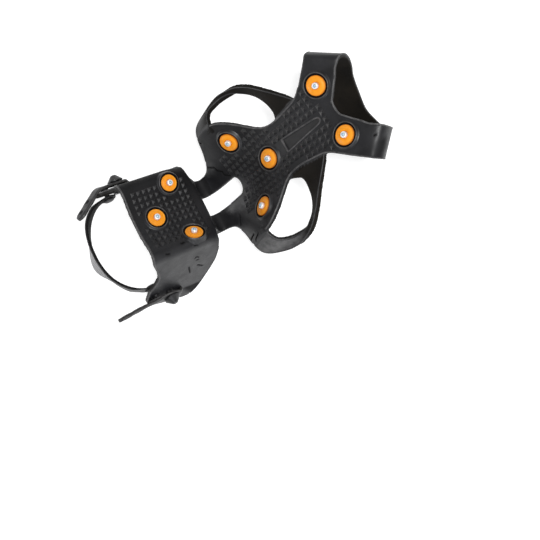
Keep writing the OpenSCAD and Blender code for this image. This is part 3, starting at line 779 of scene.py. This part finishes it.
def pyramid(pt, s0, t0, b=2.25, c=0.3, h=1.1):
    """Low four-sided pyramid; each side has its own corners so that painted shade or painted highlight can be set on it
    by itself.
    """
    e = 0.3
    p = np.asarray(pt(s0, t0), float)
    x = unit(np.asarray(pt(s0 + e, t0), float) - np.asarray(pt(s0 - e, t0), float))
    y = unit(np.asarray(pt(s0, t0 + e), float) - np.asarray(pt(s0, t0 - e), float))
    n = unit(np.cross(x, y))
    sq = ((-1, -1), (1, -1), (1, 1), (-1, 1))
    tiers = [[p + x * (i * w) + y * (j * w) + n * z for i, j in sq] for w, z in ((b * 1.2, -0.45), (c * 1.5, h * 0.86), (c, h))]
    v = tiers[0] + tiers[2]
    f = [(3, 2, 1, 0), (4, 5, 6, 7)]
    for j in range(4):
        j2 = (j + 1) % 4
        k = len(v)
        v += [tiers[0][j], tiers[0][j2], tiers[1][j2], tiers[1][j], tiers[2][j2], tiers[2][j]]
        f += [(k, k + 1, k + 2, k + 3), (k + 3, k + 2, k + 4, k + 5)]
    return np.array(v), f


PITCH = 5.0
grip = Mesh()
wear_and_glint, facet_shade = [], []
for i in range(0, 22):
    for j in range(-7, 7):
        s0, t0 = 181 - i * PITCH, (j + 0.5) * PITCH
        if not clear("fore", s0, t0, 4.4) or abs(t0) > fw(s0) - 2.8 or abs(t0) < panel_half(s0):
            continue
        if s0 < 85 or abs(t0) < slot(min(s0, 89)) + 3.2 * (s0 < 93) or (s0 > 176 and abs(t0) > 13) or abs(t0) > 33:
            continue
        if (s0 < 97 and abs(t0) > 26) or (s0 < 116 and abs(t0) > 29):
            continue
        grip.add(*pyramid(fore_pt, s0, t0))
        wear_and_glint.append(rng.uniform(1.1, 1.6) if s0 > 131 else rng.uniform(0.45, 0.9))
        facet_shade.append(1.0 if s0 > 131 else (0.8 if t0 > 0 else 0.4))
for i in range(0, 12):
    for j in range(-5, 5):
        s0, t0 = 49.5 - i * PITCH * 0.94, (j + 0.5) * PITCH * 0.94
        if s0 < 5 or abs(t0) > 21.5 or not clear("heel", s0, t0, 4.2):
            continue
        grip.add(*pyramid(heel_pt, s0, t0, 2.05, 0.3, 1.0))
        wear_and_glint.append(rng.uniform(0.3, 0.8))
        facet_shade.append(0.85)
body.add(grip.verts(), grip.f)
inner_all.append(np.zeros(grip.n))
# lighter tops (wear and painted highlight), painted highlight mostly on the rear and far sides, painted shade on the
# near and front sides
side_highlight = np.repeat([0.0, 0.15, 0.35, 0.6], 6)
side_shade = np.repeat([0.5, 0.58, 0.0, 0.0], 6)
gw = np.concatenate([np.zeros(4), np.full(4, 0.7), side_highlight])
gd = np.concatenate([np.zeros(8), side_shade])
wear_and_highlight_all.append(np.concatenate([np.minimum(gw * k, 1.0) for k in wear_and_glint]))
dark_all.append(np.concatenate([np.maximum(gd * q, np.where(gw > 0.3, 0.12 * (k < 1), 0)) for k, q in zip(wear_and_glint, facet_shade)]))

# sink the panel
verts = body.verts()
nb = len(V)
x, y, z = verts[:nb, 0], verts[:nb, 1], verts[:nb, 2]
cand = np.where((x > 110) & (x < 155) & (np.abs(y) < 8) & (inner < 0.5))[0]
ss = np.arange(138, 180, 0.1)
px, pz = np.interp(ss, FS, FX), np.interp(ss, FS, FZ)
i = np.argmin((x[cand][:, None] - px) ** 2 + (z[cand][:, None] - pz) ** 2, axis=1)
sc, tc = ss[i], np.abs(y[cand])
half = np.interp(sc, [141.8, 142.6, 143.3, 158, 170, 174.6, 176.6, 177.1, 177.3], [-2, 4.2, 5.0, 3.9, 2.9, 2.2, 1.1, 0, -2])
k = np.clip((half - tc) / 0.7, 0, 1)
nv = np.column_stack([-np.sin(np.interp(sc, FS, FA)), np.zeros(len(sc)), np.cos(np.interp(sc, FS, FA))])
verts[cand] -= (0.85 * k)[:, None] * nv
inner_arr = np.concatenate(inner_all)
inner_arr[cand] = np.maximum(inner_arr[cand], 0.15 * k)
wear_and_highlight_arr = np.concatenate(wear_and_highlight_all)
wear_and_highlight_arr[cand] = np.maximum(wear_and_highlight_arr[cand], 0.12 * k)

rub = make_object("rubber_body", verts, body.f, angle=48)
set_attr(rub, "inner", inner_arr)
set_attr(rub, "wear_and_highlight", wear_and_highlight_arr)
set_attr(rub, "dark", np.concatenate(dark_all))
rub.data.transform(Matrix.Scale(0.001, 4) @ Matrix.Translation(Vector(MOVE)))

# ---------------------------------------------------------------- materials
def node_mat(name):
    m = bpy.data.materials.new(name)
    m.use_nodes = True
    nt = m.node_tree
    bs = nt.nodes["Principled BSDF"]
    return m, nt, bs


def add(nt, kind, **kw):
    n = nt.nodes.new(kind)
    for k, v in kw.items():
        setattr(n, k, v)
    return n


def noise(nt, vec, scale, detail=4.0, rough=0.55):
    n = add(nt, "ShaderNodeTexNoise")
    n.inputs["Scale"].default_value = scale
    n.inputs["Detail"].default_value = detail
    n.inputs["Roughness"].default_value = rough
    nt.links.new(vec, n.inputs["Vector"])
    return n


def ramp(nt, fac, stops):
    r = add(nt, "ShaderNodeValToRGB")
    e = r.color_ramp.elements
    e[0].position, e[0].color = stops[0][0], (*stops[0][1], 1)
    e[1].position, e[1].color = stops[-1][0], (*stops[-1][1], 1)
    for pos, col in stops[1:-1]:
        k = e.new(pos)
        k.color = (*col, 1)
    nt.links.new(fac, r.inputs["Fac"])
    return r


def mix(nt, fac, a, b, mode="MIX"):
    m = add(nt, "ShaderNodeMix", data_type="RGBA", blend_type=mode)
    for sock, val in ((0, fac), (6, a), (7, b)):
        if isinstance(val, (int, float)):
            m.inputs[sock].default_value = val
        elif isinstance(val, tuple):
            m.inputs[sock].default_value = (*val, 1)
        else:
            nt.links.new(val, m.inputs[sock])
    return m.outputs[2]


def math_node(nt, op, a, b=None):
    m = add(nt, "ShaderNodeMath", operation=op)
    for i, val in enumerate((a, b)):
        if val is None:
            continue
        if isinstance(val, (int, float)):
            m.inputs[i].default_value = val
        else:
            nt.links.new(val, m.inputs[i])
    return m.outputs[0]


def rubber_material(name, base=(0.0100, 0.0100, 0.0116), attrs=True):
    m, nt, bs = node_mat(name)
    tc = add(nt, "ShaderNodeTexCoord")
    vec = tc.outputs["Object"]
    big = noise(nt, vec, 55, 3)
    dark = tuple(0.62 * c for c in base)
    light = tuple(1.3 * c for c in base)
    col = ramp(nt, big.outputs["Fac"], [(0.3, dark), (0.52, base), (0.75, light)]).outputs["Color"]
    dust = noise(nt, vec, 420, 6, 0.65)
    dfac = ramp(nt, dust.outputs["Fac"], [(0.56, (0, 0, 0)), (0.8, (0.35, 0.35, 0.35))]).outputs["Color"]
    col = mix(nt, dfac, col, (0.030, 0.030, 0.033))
    vor = add(nt, "ShaderNodeTexVoronoi", feature="DISTANCE_TO_EDGE")
    vor.inputs["Scale"].default_value = 34
    nt.links.new(vec, vor.inputs["Vector"])
    patch = noise(nt, vec, 40, 2)
    nick = math_node(nt, "MULTIPLY", math_node(nt, "LESS_THAN", vor.outputs["Distance"], 0.012),
                     math_node(nt, "GREATER_THAN", patch.outputs["Fac"], 0.62))
    col = mix(nt, nick, col, (0.008, 0.008, 0.008))
    if attrs:
        ai = add(nt, "ShaderNodeAttribute", attribute_name="inner")
        brown = ramp(nt, noise(nt, vec, 70, 5).outputs["Fac"], [(0.3, (0.0045, 0.0036, 0.0024)), (0.7, (0.0125, 0.0100, 0.0068))]).outputs["Color"]
        col = mix(nt, math_node(nt, "MULTIPLY", ai.outputs["Fac"], 0.85), col, brown)
        # lighter grey mixed in: painted highlight and sheen, with some wear
        aw = add(nt, "ShaderNodeAttribute", attribute_name="wear_and_highlight")
        wn = ramp(nt, noise(nt, vec, 260, 4).outputs["Fac"], [(0.3, (0.25, 0.25, 0.25)), (0.65, (1, 1, 1))]).outputs["Color"]
        col = mix(nt, math_node(nt, "MULTIPLY", aw.outputs["Fac"], wn), col, (0.085, 0.083, 0.083))
        # near black mixed in by the dark attribute: painted shade in gaps, under parts and on shaded sides, and the
        # dark of the pressed cracks
        ad = add(nt, "ShaderNodeAttribute", attribute_name="dark")
        col = mix(nt, math_node(nt, "MULTIPLY", ad.outputs["Fac"], 0.92), col, (0.002, 0.002, 0.002))
        # the pad attribute paints a light grey, finely striped sheen
        pad_sheen_attr = add(nt, "ShaderNodeAttribute", attribute_name="pad")
        rib = add(nt, "ShaderNodeTexWave", bands_direction="Y")
        rib.inputs["Scale"].default_value = 260
        rib.inputs["Distortion"].default_value = 0.6
        nt.links.new(vec, rib.inputs["Vector"])
        pad_sheen_grey = ramp(nt, rib.outputs["Fac"], [(0.2, (0.12, 0.12, 0.125)), (0.8, (0.26, 0.26, 0.27))]).outputs["Color"]
        col = mix(nt, pad_sheen_attr.outputs["Fac"], col, pad_sheen_grey)
    nt.links.new(col, bs.inputs["Base Color"])
    rr = ramp(nt, noise(nt, vec, 140, 5).outputs["Fac"], [(0.3, (0.38, 0.38, 0.38)), (0.7, (0.52, 0.52, 0.52))])
    rough = rr.outputs["Color"]
    if attrs:
        rough = math_node(nt, "ADD", rough, math_node(nt, "MULTIPLY", math_node(nt, "MAXIMUM", ai.outputs["Fac"], ad.outputs["Fac"]), 0.38))
    nt.links.new(rough, bs.inputs["Roughness"])
    bs.inputs["Specular IOR Level"].default_value = 0.42
    if attrs:
        dull = math_node(nt, "SUBTRACT", 0.42, math_node(nt, "MULTIPLY", math_node(nt, "MAXIMUM", ai.outputs["Fac"], ad.outputs["Fac"]), 0.32))
        nt.links.new(dull, bs.inputs["Specular IOR Level"])
    fine = noise(nt, vec, 2400, 3, 0.6)
    med = noise(nt, vec, 300, 4, 0.6)
    h = math_node(nt, "ADD", math_node(nt, "MULTIPLY", fine.outputs["Fac"], 0.5), med.outputs["Fac"])
    h = math_node(nt, "SUBTRACT", h, math_node(nt, "MULTIPLY", nick, 1.4))
    bump = add(nt, "ShaderNodeBump")
    bump.inputs["Strength"].default_value = 0.22
    bump.inputs["Distance"].default_value = 0.0004
    nt.links.new(h, bump.inputs["Height"])
    nt.links.new(bump.outputs["Normal"], bs.inputs["Normal"])
    return m


def washer_material():
    m, nt, bs = node_mat("washer_plastic")
    tc = add(nt, "ShaderNodeTexCoord")
    vec = tc.outputs["Object"]
    sep = add(nt, "ShaderNodeSeparateXYZ")
    nt.links.new(vec, sep.inputs[0])
    r = math_node(nt, "SQRT", math_node(nt, "ADD", math_node(nt, "MULTIPLY", sep.outputs[0], sep.outputs[0]),
                                        math_node(nt, "MULTIPLY", sep.outputs[1], sep.outputs[1])))
    rr = math_node(nt, "MULTIPLY", r, 1000 / 7.3)
    wob = math_node(nt, "ADD", rr, math_node(nt, "MULTIPLY", math_node(nt, "SUBTRACT", noise(nt, vec, 500, 3).outputs["Fac"], 0.5), 0.12))
    col = ramp(nt, wob, [(0.30, (0.60, 0.13, 0.008)), (0.42, (0.82, 0.285, 0.012)), (0.80, (0.84, 0.325, 0.022)), (0.93, (0.74, 0.255, 0.016)),
                         (1.0, (0.36, 0.085, 0.006))]).outputs["Color"]
    var = ramp(nt, noise(nt, vec, 260, 5).outputs["Fac"], [(0.3, (0.86, 0.80, 0.72)), (0.7, (1, 1, 1))]).outputs["Color"]
    col = mix(nt, 1.0, col, var, "MULTIPLY")
    nt.links.new(col, bs.inputs["Base Color"])
    ro = ramp(nt, noise(nt, vec, 700, 4).outputs["Fac"], [(0.3, (0.30, 0.30, 0.30)), (0.7, (0.46, 0.46, 0.46))])
    nt.links.new(ro.outputs["Color"], bs.inputs["Roughness"])
    bs.inputs["Specular IOR Level"].default_value = 0.25
    bs.inputs["Coat Weight"].default_value = 0.05
    bs.inputs["Coat Roughness"].default_value = 0.25
    bump = add(nt, "ShaderNodeBump")
    bump.inputs["Strength"].default_value = 0.12
    bump.inputs["Distance"].default_value = 0.0002
    nt.links.new(noise(nt, vec, 1500, 3).outputs["Fac"], bump.inputs["Height"])
    nt.links.new(bump.outputs["Normal"], bs.inputs["Normal"])
    return m


def metal_material(name, dark, light, rough0, rough1, flange=False):
    m, nt, bs = node_mat(name)
    tc = add(nt, "ShaderNodeTexCoord")
    vec = tc.outputs["Object"]
    col = ramp(nt, noise(nt, vec, 600, 5).outputs["Fac"], [(0.3, dark), (0.7, light)]).outputs["Color"]
    if flange:
        sep = add(nt, "ShaderNodeSeparateXYZ")
        nt.links.new(vec, sep.inputs[0])
        plate = ramp(nt, noise(nt, vec, 420, 5).outputs["Fac"], [(0.3, (0.15, 0.15, 0.155)), (0.7, (0.24, 0.24, 0.245))]).outputs["Color"]
        col = mix(nt, math_node(nt, "LESS_THAN", sep.outputs[2], -0.0018), col, plate)
    nt.links.new(col, bs.inputs["Base Color"])
    bs.inputs["Metallic"].default_value = 0.45
    ro = ramp(nt, noise(nt, vec, 1100, 4).outputs["Fac"], [(0.3, (rough0,) * 3), (0.7, (rough1,) * 3)])
    nt.links.new(ro.outputs["Color"], bs.inputs["Roughness"])
    bump = add(nt, "ShaderNodeBump")
    bump.inputs["Strength"].default_value = 0.1
    bump.inputs["Distance"].default_value = 0.0001
    nt.links.new(noise(nt, vec, 2500, 2).outputs["Fac"], bump.inputs["Height"])
    nt.links.new(bump.outputs["Normal"], bs.inputs["Normal"])
    return m


RUBBER = rubber_material("moulded_rubber")
STRAP = rubber_material("strap_rubber", (0.0085, 0.0085, 0.0092), attrs=True)
KNOB = rubber_material("knob_rubber", (0.012, 0.012, 0.0125), attrs=False)
ORANGE = washer_material()
STEEL = metal_material("stud_steel", (0.80, 0.80, 0.81), (0.95, 0.95, 0.95), 0.42, 0.55, True)
RIVET = metal_material("rivet_black", (0.012, 0.012, 0.013), (0.032, 0.032, 0.034), 0.38, 0.55)
TIP = metal_material("stud_tip", (0.30, 0.44, 0.56), (0.48, 0.64, 0.76), 0.35, 0.5)


def finish_piece(ob, mat, nodes, body_name=None):
    ob.data.materials.clear()
    ob.data.materials.append(mat)
    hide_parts(*nodes)
    if body_name:
        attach(ob, body_name)
    return ob


rub.data.materials.append(RUBBER)
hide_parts("forefoot_body", "left_leg", "right_leg", "heel_body")
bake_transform(rub)


# ---------------------------------------------------------------- turned pieces
def turned(name, profile, p, M, mat, node, body_name, sides=72, angle=35):
    v, f = lathe(profile, sides)
    ob = make_object(name, v * 0.001, f, angle=angle)
    recalc(ob)
    mw = Matrix.Identity(4)
    for i in range(3):
        for j in range(3):
            mw[i][j] = float(M[i, j])
    mw.translation = Vector(to_frame(p))
    ob.matrix_world = mw
    return finish_piece(ob, mat, [node], body_name)


for name, (pt, s0, t0, d, bd) in STUDS.items():
    p, n = place(pt, s0, t0)
    tx = unit(np.asarray(pt(s0 + 0.5, t0), float) - np.asarray(pt(s0 - 0.5, t0), float))
    M = frame_on(p, n, tx)
    R = d / 2
    turned(name + "_washer_disc", [(2.42, 0.05), (R - 0.25, 0.05), (R, 0.25), (R, 0.72), (R - 0.12, 0.9), (R - 0.4, 1.0), (R - 0.75, 0.98),
                                   (R - 0.95, 0.9), (R - 1.15, 0.93), (R - 1.5, 1.05), (5.0, 1.32), (4.5, 1.45), (4.0, 1.55), (3.4, 1.58),
                                   (2.9, 1.55), (2.6, 1.48), (2.42, 1.3)], p, M, ORANGE, name + "_washer", bd)
    turned(name + "_stud_pin", [(0, -3.4), (7.25, -3.4), (7.45, -3.32), (7.5, -3.15), (7.5, -2.4), (7.42, -2.25), (7.2, -2.2), (2.3, -2.2),
                                (2.3, 2.35), (2.26, 2.75), (2.12, 3.02), (1.9, 3.16), (1.5, 3.2), (1.28, 3.14), (1.16, 3.0), (1.16, 2.4), (0, 2.4)],
           p, M, STEEL, name + "_stud", bd, 64)
    turned(name + "_tip_pin", [(0, 0.5), (1.08, 0.5), (1.08, 3.55), (1.02, 3.8), (0.85, 3.98), (0.55, 4.07), (0, 4.1)], p, M, TIP,
           name + "_tip", bd, 40)

# ---------------------------------------------------------------- heel strap
PIV_S, PIV_W = 8.0, 40.0
TAB_W = 42.5
BUT_S = 20.0
PIV_Y = WING_Y + PIV_W * math.cos(WING_A)
PIV_N = WING_N + PIV_W * math.sin(WING_A)
STRAP_Y = PIV_Y - THK / math.cos(math.radians(12)) - 6.0 * math.tan(math.radians(12)) - 1.3 - 0.4
ang = np.radians(np.linspace(0, 180, 121))
sx = PIV_S - 3.4 - 26.4 * np.sin(ang) ** 1.3
sy = STRAP_Y * np.sign(np.cos(ang)) * np.abs(np.cos(ang)) ** 0.86
line = np.column_stack([np.concatenate([[PIV_S - 3.2], sx, [PIV_S - 3.2]]), np.concatenate([[STRAP_Y], sy, [-STRAP_Y]])])
dline = np.concatenate([[0], np.cumsum(np.linalg.norm(np.diff(line, axis=0), axis=1))])
qd = np.linspace(0, dline[-1], 150)
line = np.column_stack([np.interp(qd, dline, line[:, k]) for k in range(2)])
for _ in range(3):
    line[1:-1] = (line[:-2] + 2 * line[1:-1] + line[2:]) / 4
tan = unit(np.gradient(line, axis=0))
nor = np.column_stack([tan[:, 1], -tan[:, 0]])
if nor[75, 0] > 0:
    nor = -nor
hw = (14 + (9 - 14) * np.clip(np.abs(line[:, 1]) / STRAP_Y, 0, 1) ** 2) / 2
lean = 0.40 * (1 - np.clip(np.abs(line[:, 1]) / STRAP_Y, 0, 1) ** 4)
mid_d = np.abs(qd - qd[-1] / 2 - 6)
pad = 3.8 * np.cos(np.clip(mid_d / 19, 0, 1) * math.pi / 2) ** 1.7
roll = 0.22 * ease((-line[:, 1] - 6) / 16) - 0.26 * ease((line[:, 1] - 8) / 16)
roll *= 1 - np.clip(np.abs(line[:, 1]) / STRAP_Y, 0, 1) ** 8
near_end = np.clip((np.abs(line[:, 1]) / STRAP_Y - 0.86) / 0.10, 0, 1)
sect = []
for a in np.radians(np.arange(0, 360, 15)):
    cx, cy = math.cos(a), math.sin(a)
    sect.append((np.sign(cx) * abs(cx) ** 0.25, np.sign(cy) * abs(cy) ** 0.55))
sm = Mesh()
rows = []
for i in range(len(line)):
    row = []
    for cx, cy in sect:
        edge = 0.28 * max(0, (abs(cx) - 0.72) / 0.28) * (cy > 0)
        o = cy * 1.3 + edge
        o -= max(o + 0.5, 0.0) * 0.75 * near_end[i]
        low = max(-cx, 0.0) * pad[i]
        o += low * 0.75
        row.append(heel_world(line[i, 0] + nor[i, 0] * o - lean[i] * cx * hw[i], line[i, 1] + nor[i, 1] * o - roll[i] * cx * hw[i],
                              PIV_N + cx * hw[i] - low))
    rows.append(row)
rows = np.array(rows)
k = len(sect)
f = []
for i in range(len(line) - 1):
    for j in range(k):
        j2 = (j + 1) % k
        f.append((i * k + j, i * k + j2, (i + 1) * k + j2, (i + 1) * k + j))
f.append(tuple(range(k)))
f.append(tuple(reversed([(len(line) - 1) * k + j for j in range(k)])))
sm.add(rows.reshape(-1, 3), f)
# the strap's top edge is made lighter, fading out toward the near end
strap_top_edge_tone = [np.array([[0.4 * ease((y + 30) / 20) if cx > 0.9 and cy > 0 else 0.0 for cx, cy in sect] for y in line[:, 1]]).ravel()]
Y3 = np.array([0.0, 1.0, 0.0])
Tn = np.array([C45, 0, -C45])
for g in (1, -1):
    v, f = lathe([(2.35, -1.15), (2.55, -1.3), (5.6, -1.3), (5.95, -1.0), (6.0, -0.5), (5.95, -0.2), (5.6, 0.1), (4.8, 0.25), (2.55, 0.25), (2.35, 0.1)], 48)
    M = frame_on(None, Y3 * g, Tn)
    sm.add(v @ M.T + heel_world(PIV_S, g * STRAP_Y, PIV_N), f)
    strap_top_edge_tone.append(np.zeros(len(v)))
strap = make_object("heel_strap_band", to_frame(sm.verts()), sm.f, angle=40)
recalc(strap)
set_attr(strap, "inner", np.zeros(sm.n))
# painted shade on the strap's inner face and its edges; the eyelets are darkened evenly
strap_inner_shade = [0.8 if cy < 0.3 else 0.0 for cx, cy in sect] * len(line)
set_attr(strap, "dark", np.concatenate([strap_inner_shade, np.full(sm.n - len(strap_inner_shade), 0.4)]))
set_attr(strap, "wear_and_highlight", np.concatenate(strap_top_edge_tone))
# painted sheen: light grey on the strap's outer face over the pad
face = [[min(pad[i] / 2.5, 1) if cy > 0.2 and -0.97 < cx < 0.8 else 0.0 for cx, cy in sect] for i in range(len(line))]
set_attr(strap, "pad", np.concatenate([np.array(face).ravel(), np.zeros(sm.n - len(line) * len(sect))]))
finish_piece(strap, STRAP, ["heel_strap"], "strap")

# pivots and buttons
for side_name, g in (("left", 1), ("right", -1)):
    M = frame_on(None, Y3 * g, Tn)
    a = STRAP_Y - 1.3 - 0.3
    turned(side_name + "_pivot_rivet", [(0, a - 1.3), (2.6, a - 1.3), (3.6, a - 1.05), (4.0, a - 0.6), (4.0, a - 0.1), (3.9, a), (2.0, a),
                                        (2.0, PIV_Y + 0.7), (3.2, PIV_Y + 0.7), (3.3, PIV_Y + 0.8), (3.1, PIV_Y + 1.0), (2.5, PIV_Y + 1.15), (0, PIV_Y + 1.2)],
           heel_world(PIV_S, 0.0, PIV_N), M, RIVET, side_name + "_pivot", "heel", 48)
    W0 = wing_pt(g, BUT_S, TAB_W, 0.0)
    nrm = unit(wing_pt(g, BUT_S, TAB_W, 1.0) - W0)
    M = frame_on(None, nrm, Tn)
    h = 4.8
    turned(side_name + "_button_knob", [(0, -4.7), (4.1, -4.7), (4.45, -4.5), (4.5, -4.2), (4.5, -3.4), (4.35, -3.25), (2.5, -3.25), (2.5, h),
                                        (5.7, h), (6.1, h + 0.15), (6.2, h + 0.5), (6.15, h + 0.9), (5.9, h + 1.2), (5.3, h + 1.7), (3.2, h + 4.0),
                                        (2.3, h + 4.9), (1.9, h + 5.25), (1.4, h + 5.4), (0, h + 5.4)],
           W0, M, KNOB, side_name + "_button", "heel", 64, 30)

# ---------------------------------------------------------------- tabs
TAB_O = 1.9 + 1.3
TAB_S = 31.0
for side_name, g, splay, turn, bend, tail in (("left", 1, -38.0, 16.0, 7.0, 32.0), ("right", -1, 6.0, -23.0, 2.0, 28.0)):
    step = 0.6
    path = []
    s0 = TAB_S
    while s0 > bend:
        k = min(max((TAB_S - s0) / 3.5, 0), 1)
        k = k * k * (3 - 2 * k)
        path.append((s0, 0.75 + (TAB_O - 0.75) * k, 0.0))
        s0 -= step
    a, o, run = 0.0, TAB_O, 0.0
    while run < tail:
        a = math.radians(splay) * min(run / 6.0, 1.0)
        path.append((s0, o, a))
        s0 -= step * math.cos(a)
        o += step * math.sin(a)
        run += step
    path = np.array(path)
    L = len(path)
    dist = np.arange(L) * step
    total = dist[-1]
    dd = np.gradient(path[:, :2], axis=0)
    dd = unit(dd)
    no = np.column_stack([dd[:, 1], -dd[:, 0]])
    if no[5, 1] < 0:
        no = -no
    # narrow strip with a wider place at each hole
    holes = [TAB_S - BUT_S, TAB_S - BUT_S + 29.0, TAB_S - BUT_S + 39.0]
    width = np.full(L, 9.4)
    for d0 in holes:
        width += 1.0 * np.exp(-((dist - d0) / 3.4) ** 2)
    endcut = np.clip((total - dist) / 4.5, 0, 1)
    width *= np.sqrt(np.clip(1 - (1 - endcut) ** 2, 0.03, 1))
    width *= 0.86 + 0.14 * np.clip(dist / 3.0, 0, 1)
    cols = np.sin(np.linspace(-math.pi / 2, math.pi / 2, 19))
    A, B, wear_and_highlight = [], [], []
    for i in range(L):
        ra, rb = [], []
        for c in cols:
            w = c * width[i] / 2
            rim = math.sqrt(max(1 - c ** 8, 0.0))
            up = 1.3 * rim
            dn = -1.3 * rim
            for d0 in holes[1:]:
                r = math.hypot(dist[i] - d0, w)
                ring = 0.25 * math.exp(-((r - 2.9) / 0.55) ** 2)
                pit = 0.8 / (1 + math.exp((r - 2.0) / 0.18))
                up += ring - pit
                dn -= ring - pit
            k = min(max((dist[i] - holes[0] - 4) / 14, 0), 1)
            a = math.radians(turn) * k * k * (3 - 2 * k)
            pa = path[i, :2] + no[i] * (up * math.cos(a) + w * math.sin(a))
            pb = path[i, :2] + no[i] * (dn * math.cos(a) + w * math.sin(a))
            sag = TAB_W + 0.4 * max(path[i, 0] - BUT_S - 3, 0)
            ra.append(wing_pt(g, pa[0], sag + w * math.cos(a) - up * math.sin(a), pa[1]))
            rb.append(wing_pt(g, pb[0], sag + w * math.cos(a) - dn * math.sin(a), pb[1]))
        A.append(ra)
        B.append(rb)
        # painted highlight along the strip's two long edges
        wear_and_highlight.append([0.6 if abs(c) > 0.9 else 0.0 for c in cols])
    A, B = np.array(A), np.array(B)
    v, f = slab(A, B)
    tab = make_object(side_name + "_tab_strip", to_frame(v), f, angle=50)
    recalc(tab)
    set_attr(tab, "inner", np.concatenate([np.zeros(A.size // 3), np.full(B.size // 3, 0.5)]))
    set_attr(tab, "wear_and_highlight", np.concatenate([np.array(wear_and_highlight).ravel()] * 2))
    finish_piece(tab, STRAP, [side_name + "_tab", side_name + "_tab_end"])
    a = wing_pt(g, 2.5, TAB_W, TAB_O)
    b = wing_pt(g, -4.5, TAB_W, TAB_O)
    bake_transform(tab)

# ---------------------------------------------------------------- floor, light, camera
fl = bpy.data.meshes.new("floor")
fl.from_pydata([(-3, -3, 0), (3, -3, 0), (3, 3, 0), (-3, 3, 0)], [], [(0, 1, 2, 3)])
floor = bpy.data.objects.new("floor", fl)
bpy.context.scene.collection.objects.link(floor)
floor.location.z = -0.0008
m, nt, bs = node_mat("floor_white")
bs.inputs["Base Color"].default_value = (0.50, 0.50, 0.50, 1)
bs.inputs["Emission Color"].default_value = (1, 1, 1, 1)
bs.inputs["Emission Strength"].default_value = 0.75
bs.inputs["Roughness"].default_value = 0.9
bs.inputs["Specular IOR Level"].default_value = 0.1
floor.data.materials.append(m)
floor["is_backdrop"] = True


def area(name, loc, target, size, power, color=(1, 1, 1)):
    ld = bpy.data.lights.new(name, "AREA")
    ld.shape = "DISK"
    ld.size = size
    ld.energy = power
    ld.color = color
    lo = bpy.data.objects.new(name, ld)
    bpy.context.scene.collection.objects.link(lo)
    lo.location = loc
    lo.rotation_euler = (Vector(target) - Vector(loc)).to_track_quat("-Z", "Y").to_euler()
    return lo


area("main", (0.45, -0.30, 1.15), (0.0, 0, 0.03), 0.35, 14.5)
area("key", (-1.15, 0.25, 0.26), (0.04, 0, 0.04), 0.6, 6.5)
area("near", (-0.1, -1.05, 0.42), (0, 0, 0.03), 0.55, 3.4, (0.93, 0.95, 1.0))
area("fill", (0.1, 1.1, 0.45), (0, 0, 0.03), 0.7, 1.6)
world = bpy.data.worlds.new("studio")
bpy.context.scene.world = world
world.use_nodes = True
world.node_tree.nodes["Background"].inputs[0].default_value = (1, 1, 1, 1)
world.node_tree.nodes["Background"].inputs[1].default_value = 0.22

right = np.array([0.836123, -0.462143, -0.295502])
up = np.array([0.512926, 0.849639, 0.122554])
back = np.array([0.194433, -0.254041, 0.947449])
cam_d = bpy.data.cameras.new("camera")
cam = bpy.data.objects.new("camera", cam_d)
bpy.context.scene.collection.objects.link(cam)
pos = to_frame(np.array([85.0, 0.0, -15.0]) + back * 586.296)
mw = Matrix.Identity(4)
for i in range(3):
    mw[i][0], mw[i][1], mw[i][2], mw[i][3] = float(right[i]), float(up[i]), float(back[i]), float(pos[i])
cam.matrix_world = mw
cam_d.sensor_width = 36.0
cam_d.lens = 826.739 / 540 * 36.0
cam_d.shift_x = (270 - 241.40) / 540
cam_d.shift_y = (166.85 - 270) / 540
cam_d.clip_start = 0.01
cam_d.clip_end = 20
bpy.context.scene.camera = cam
bpy.context.scene.view_settings.view_transform = "Standard"

NEW_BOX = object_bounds()
{"cad": [list(map(float, c)) for c in CAD_BOX], "visual": [list(map(float, c)) for c in NEW_BOX]}
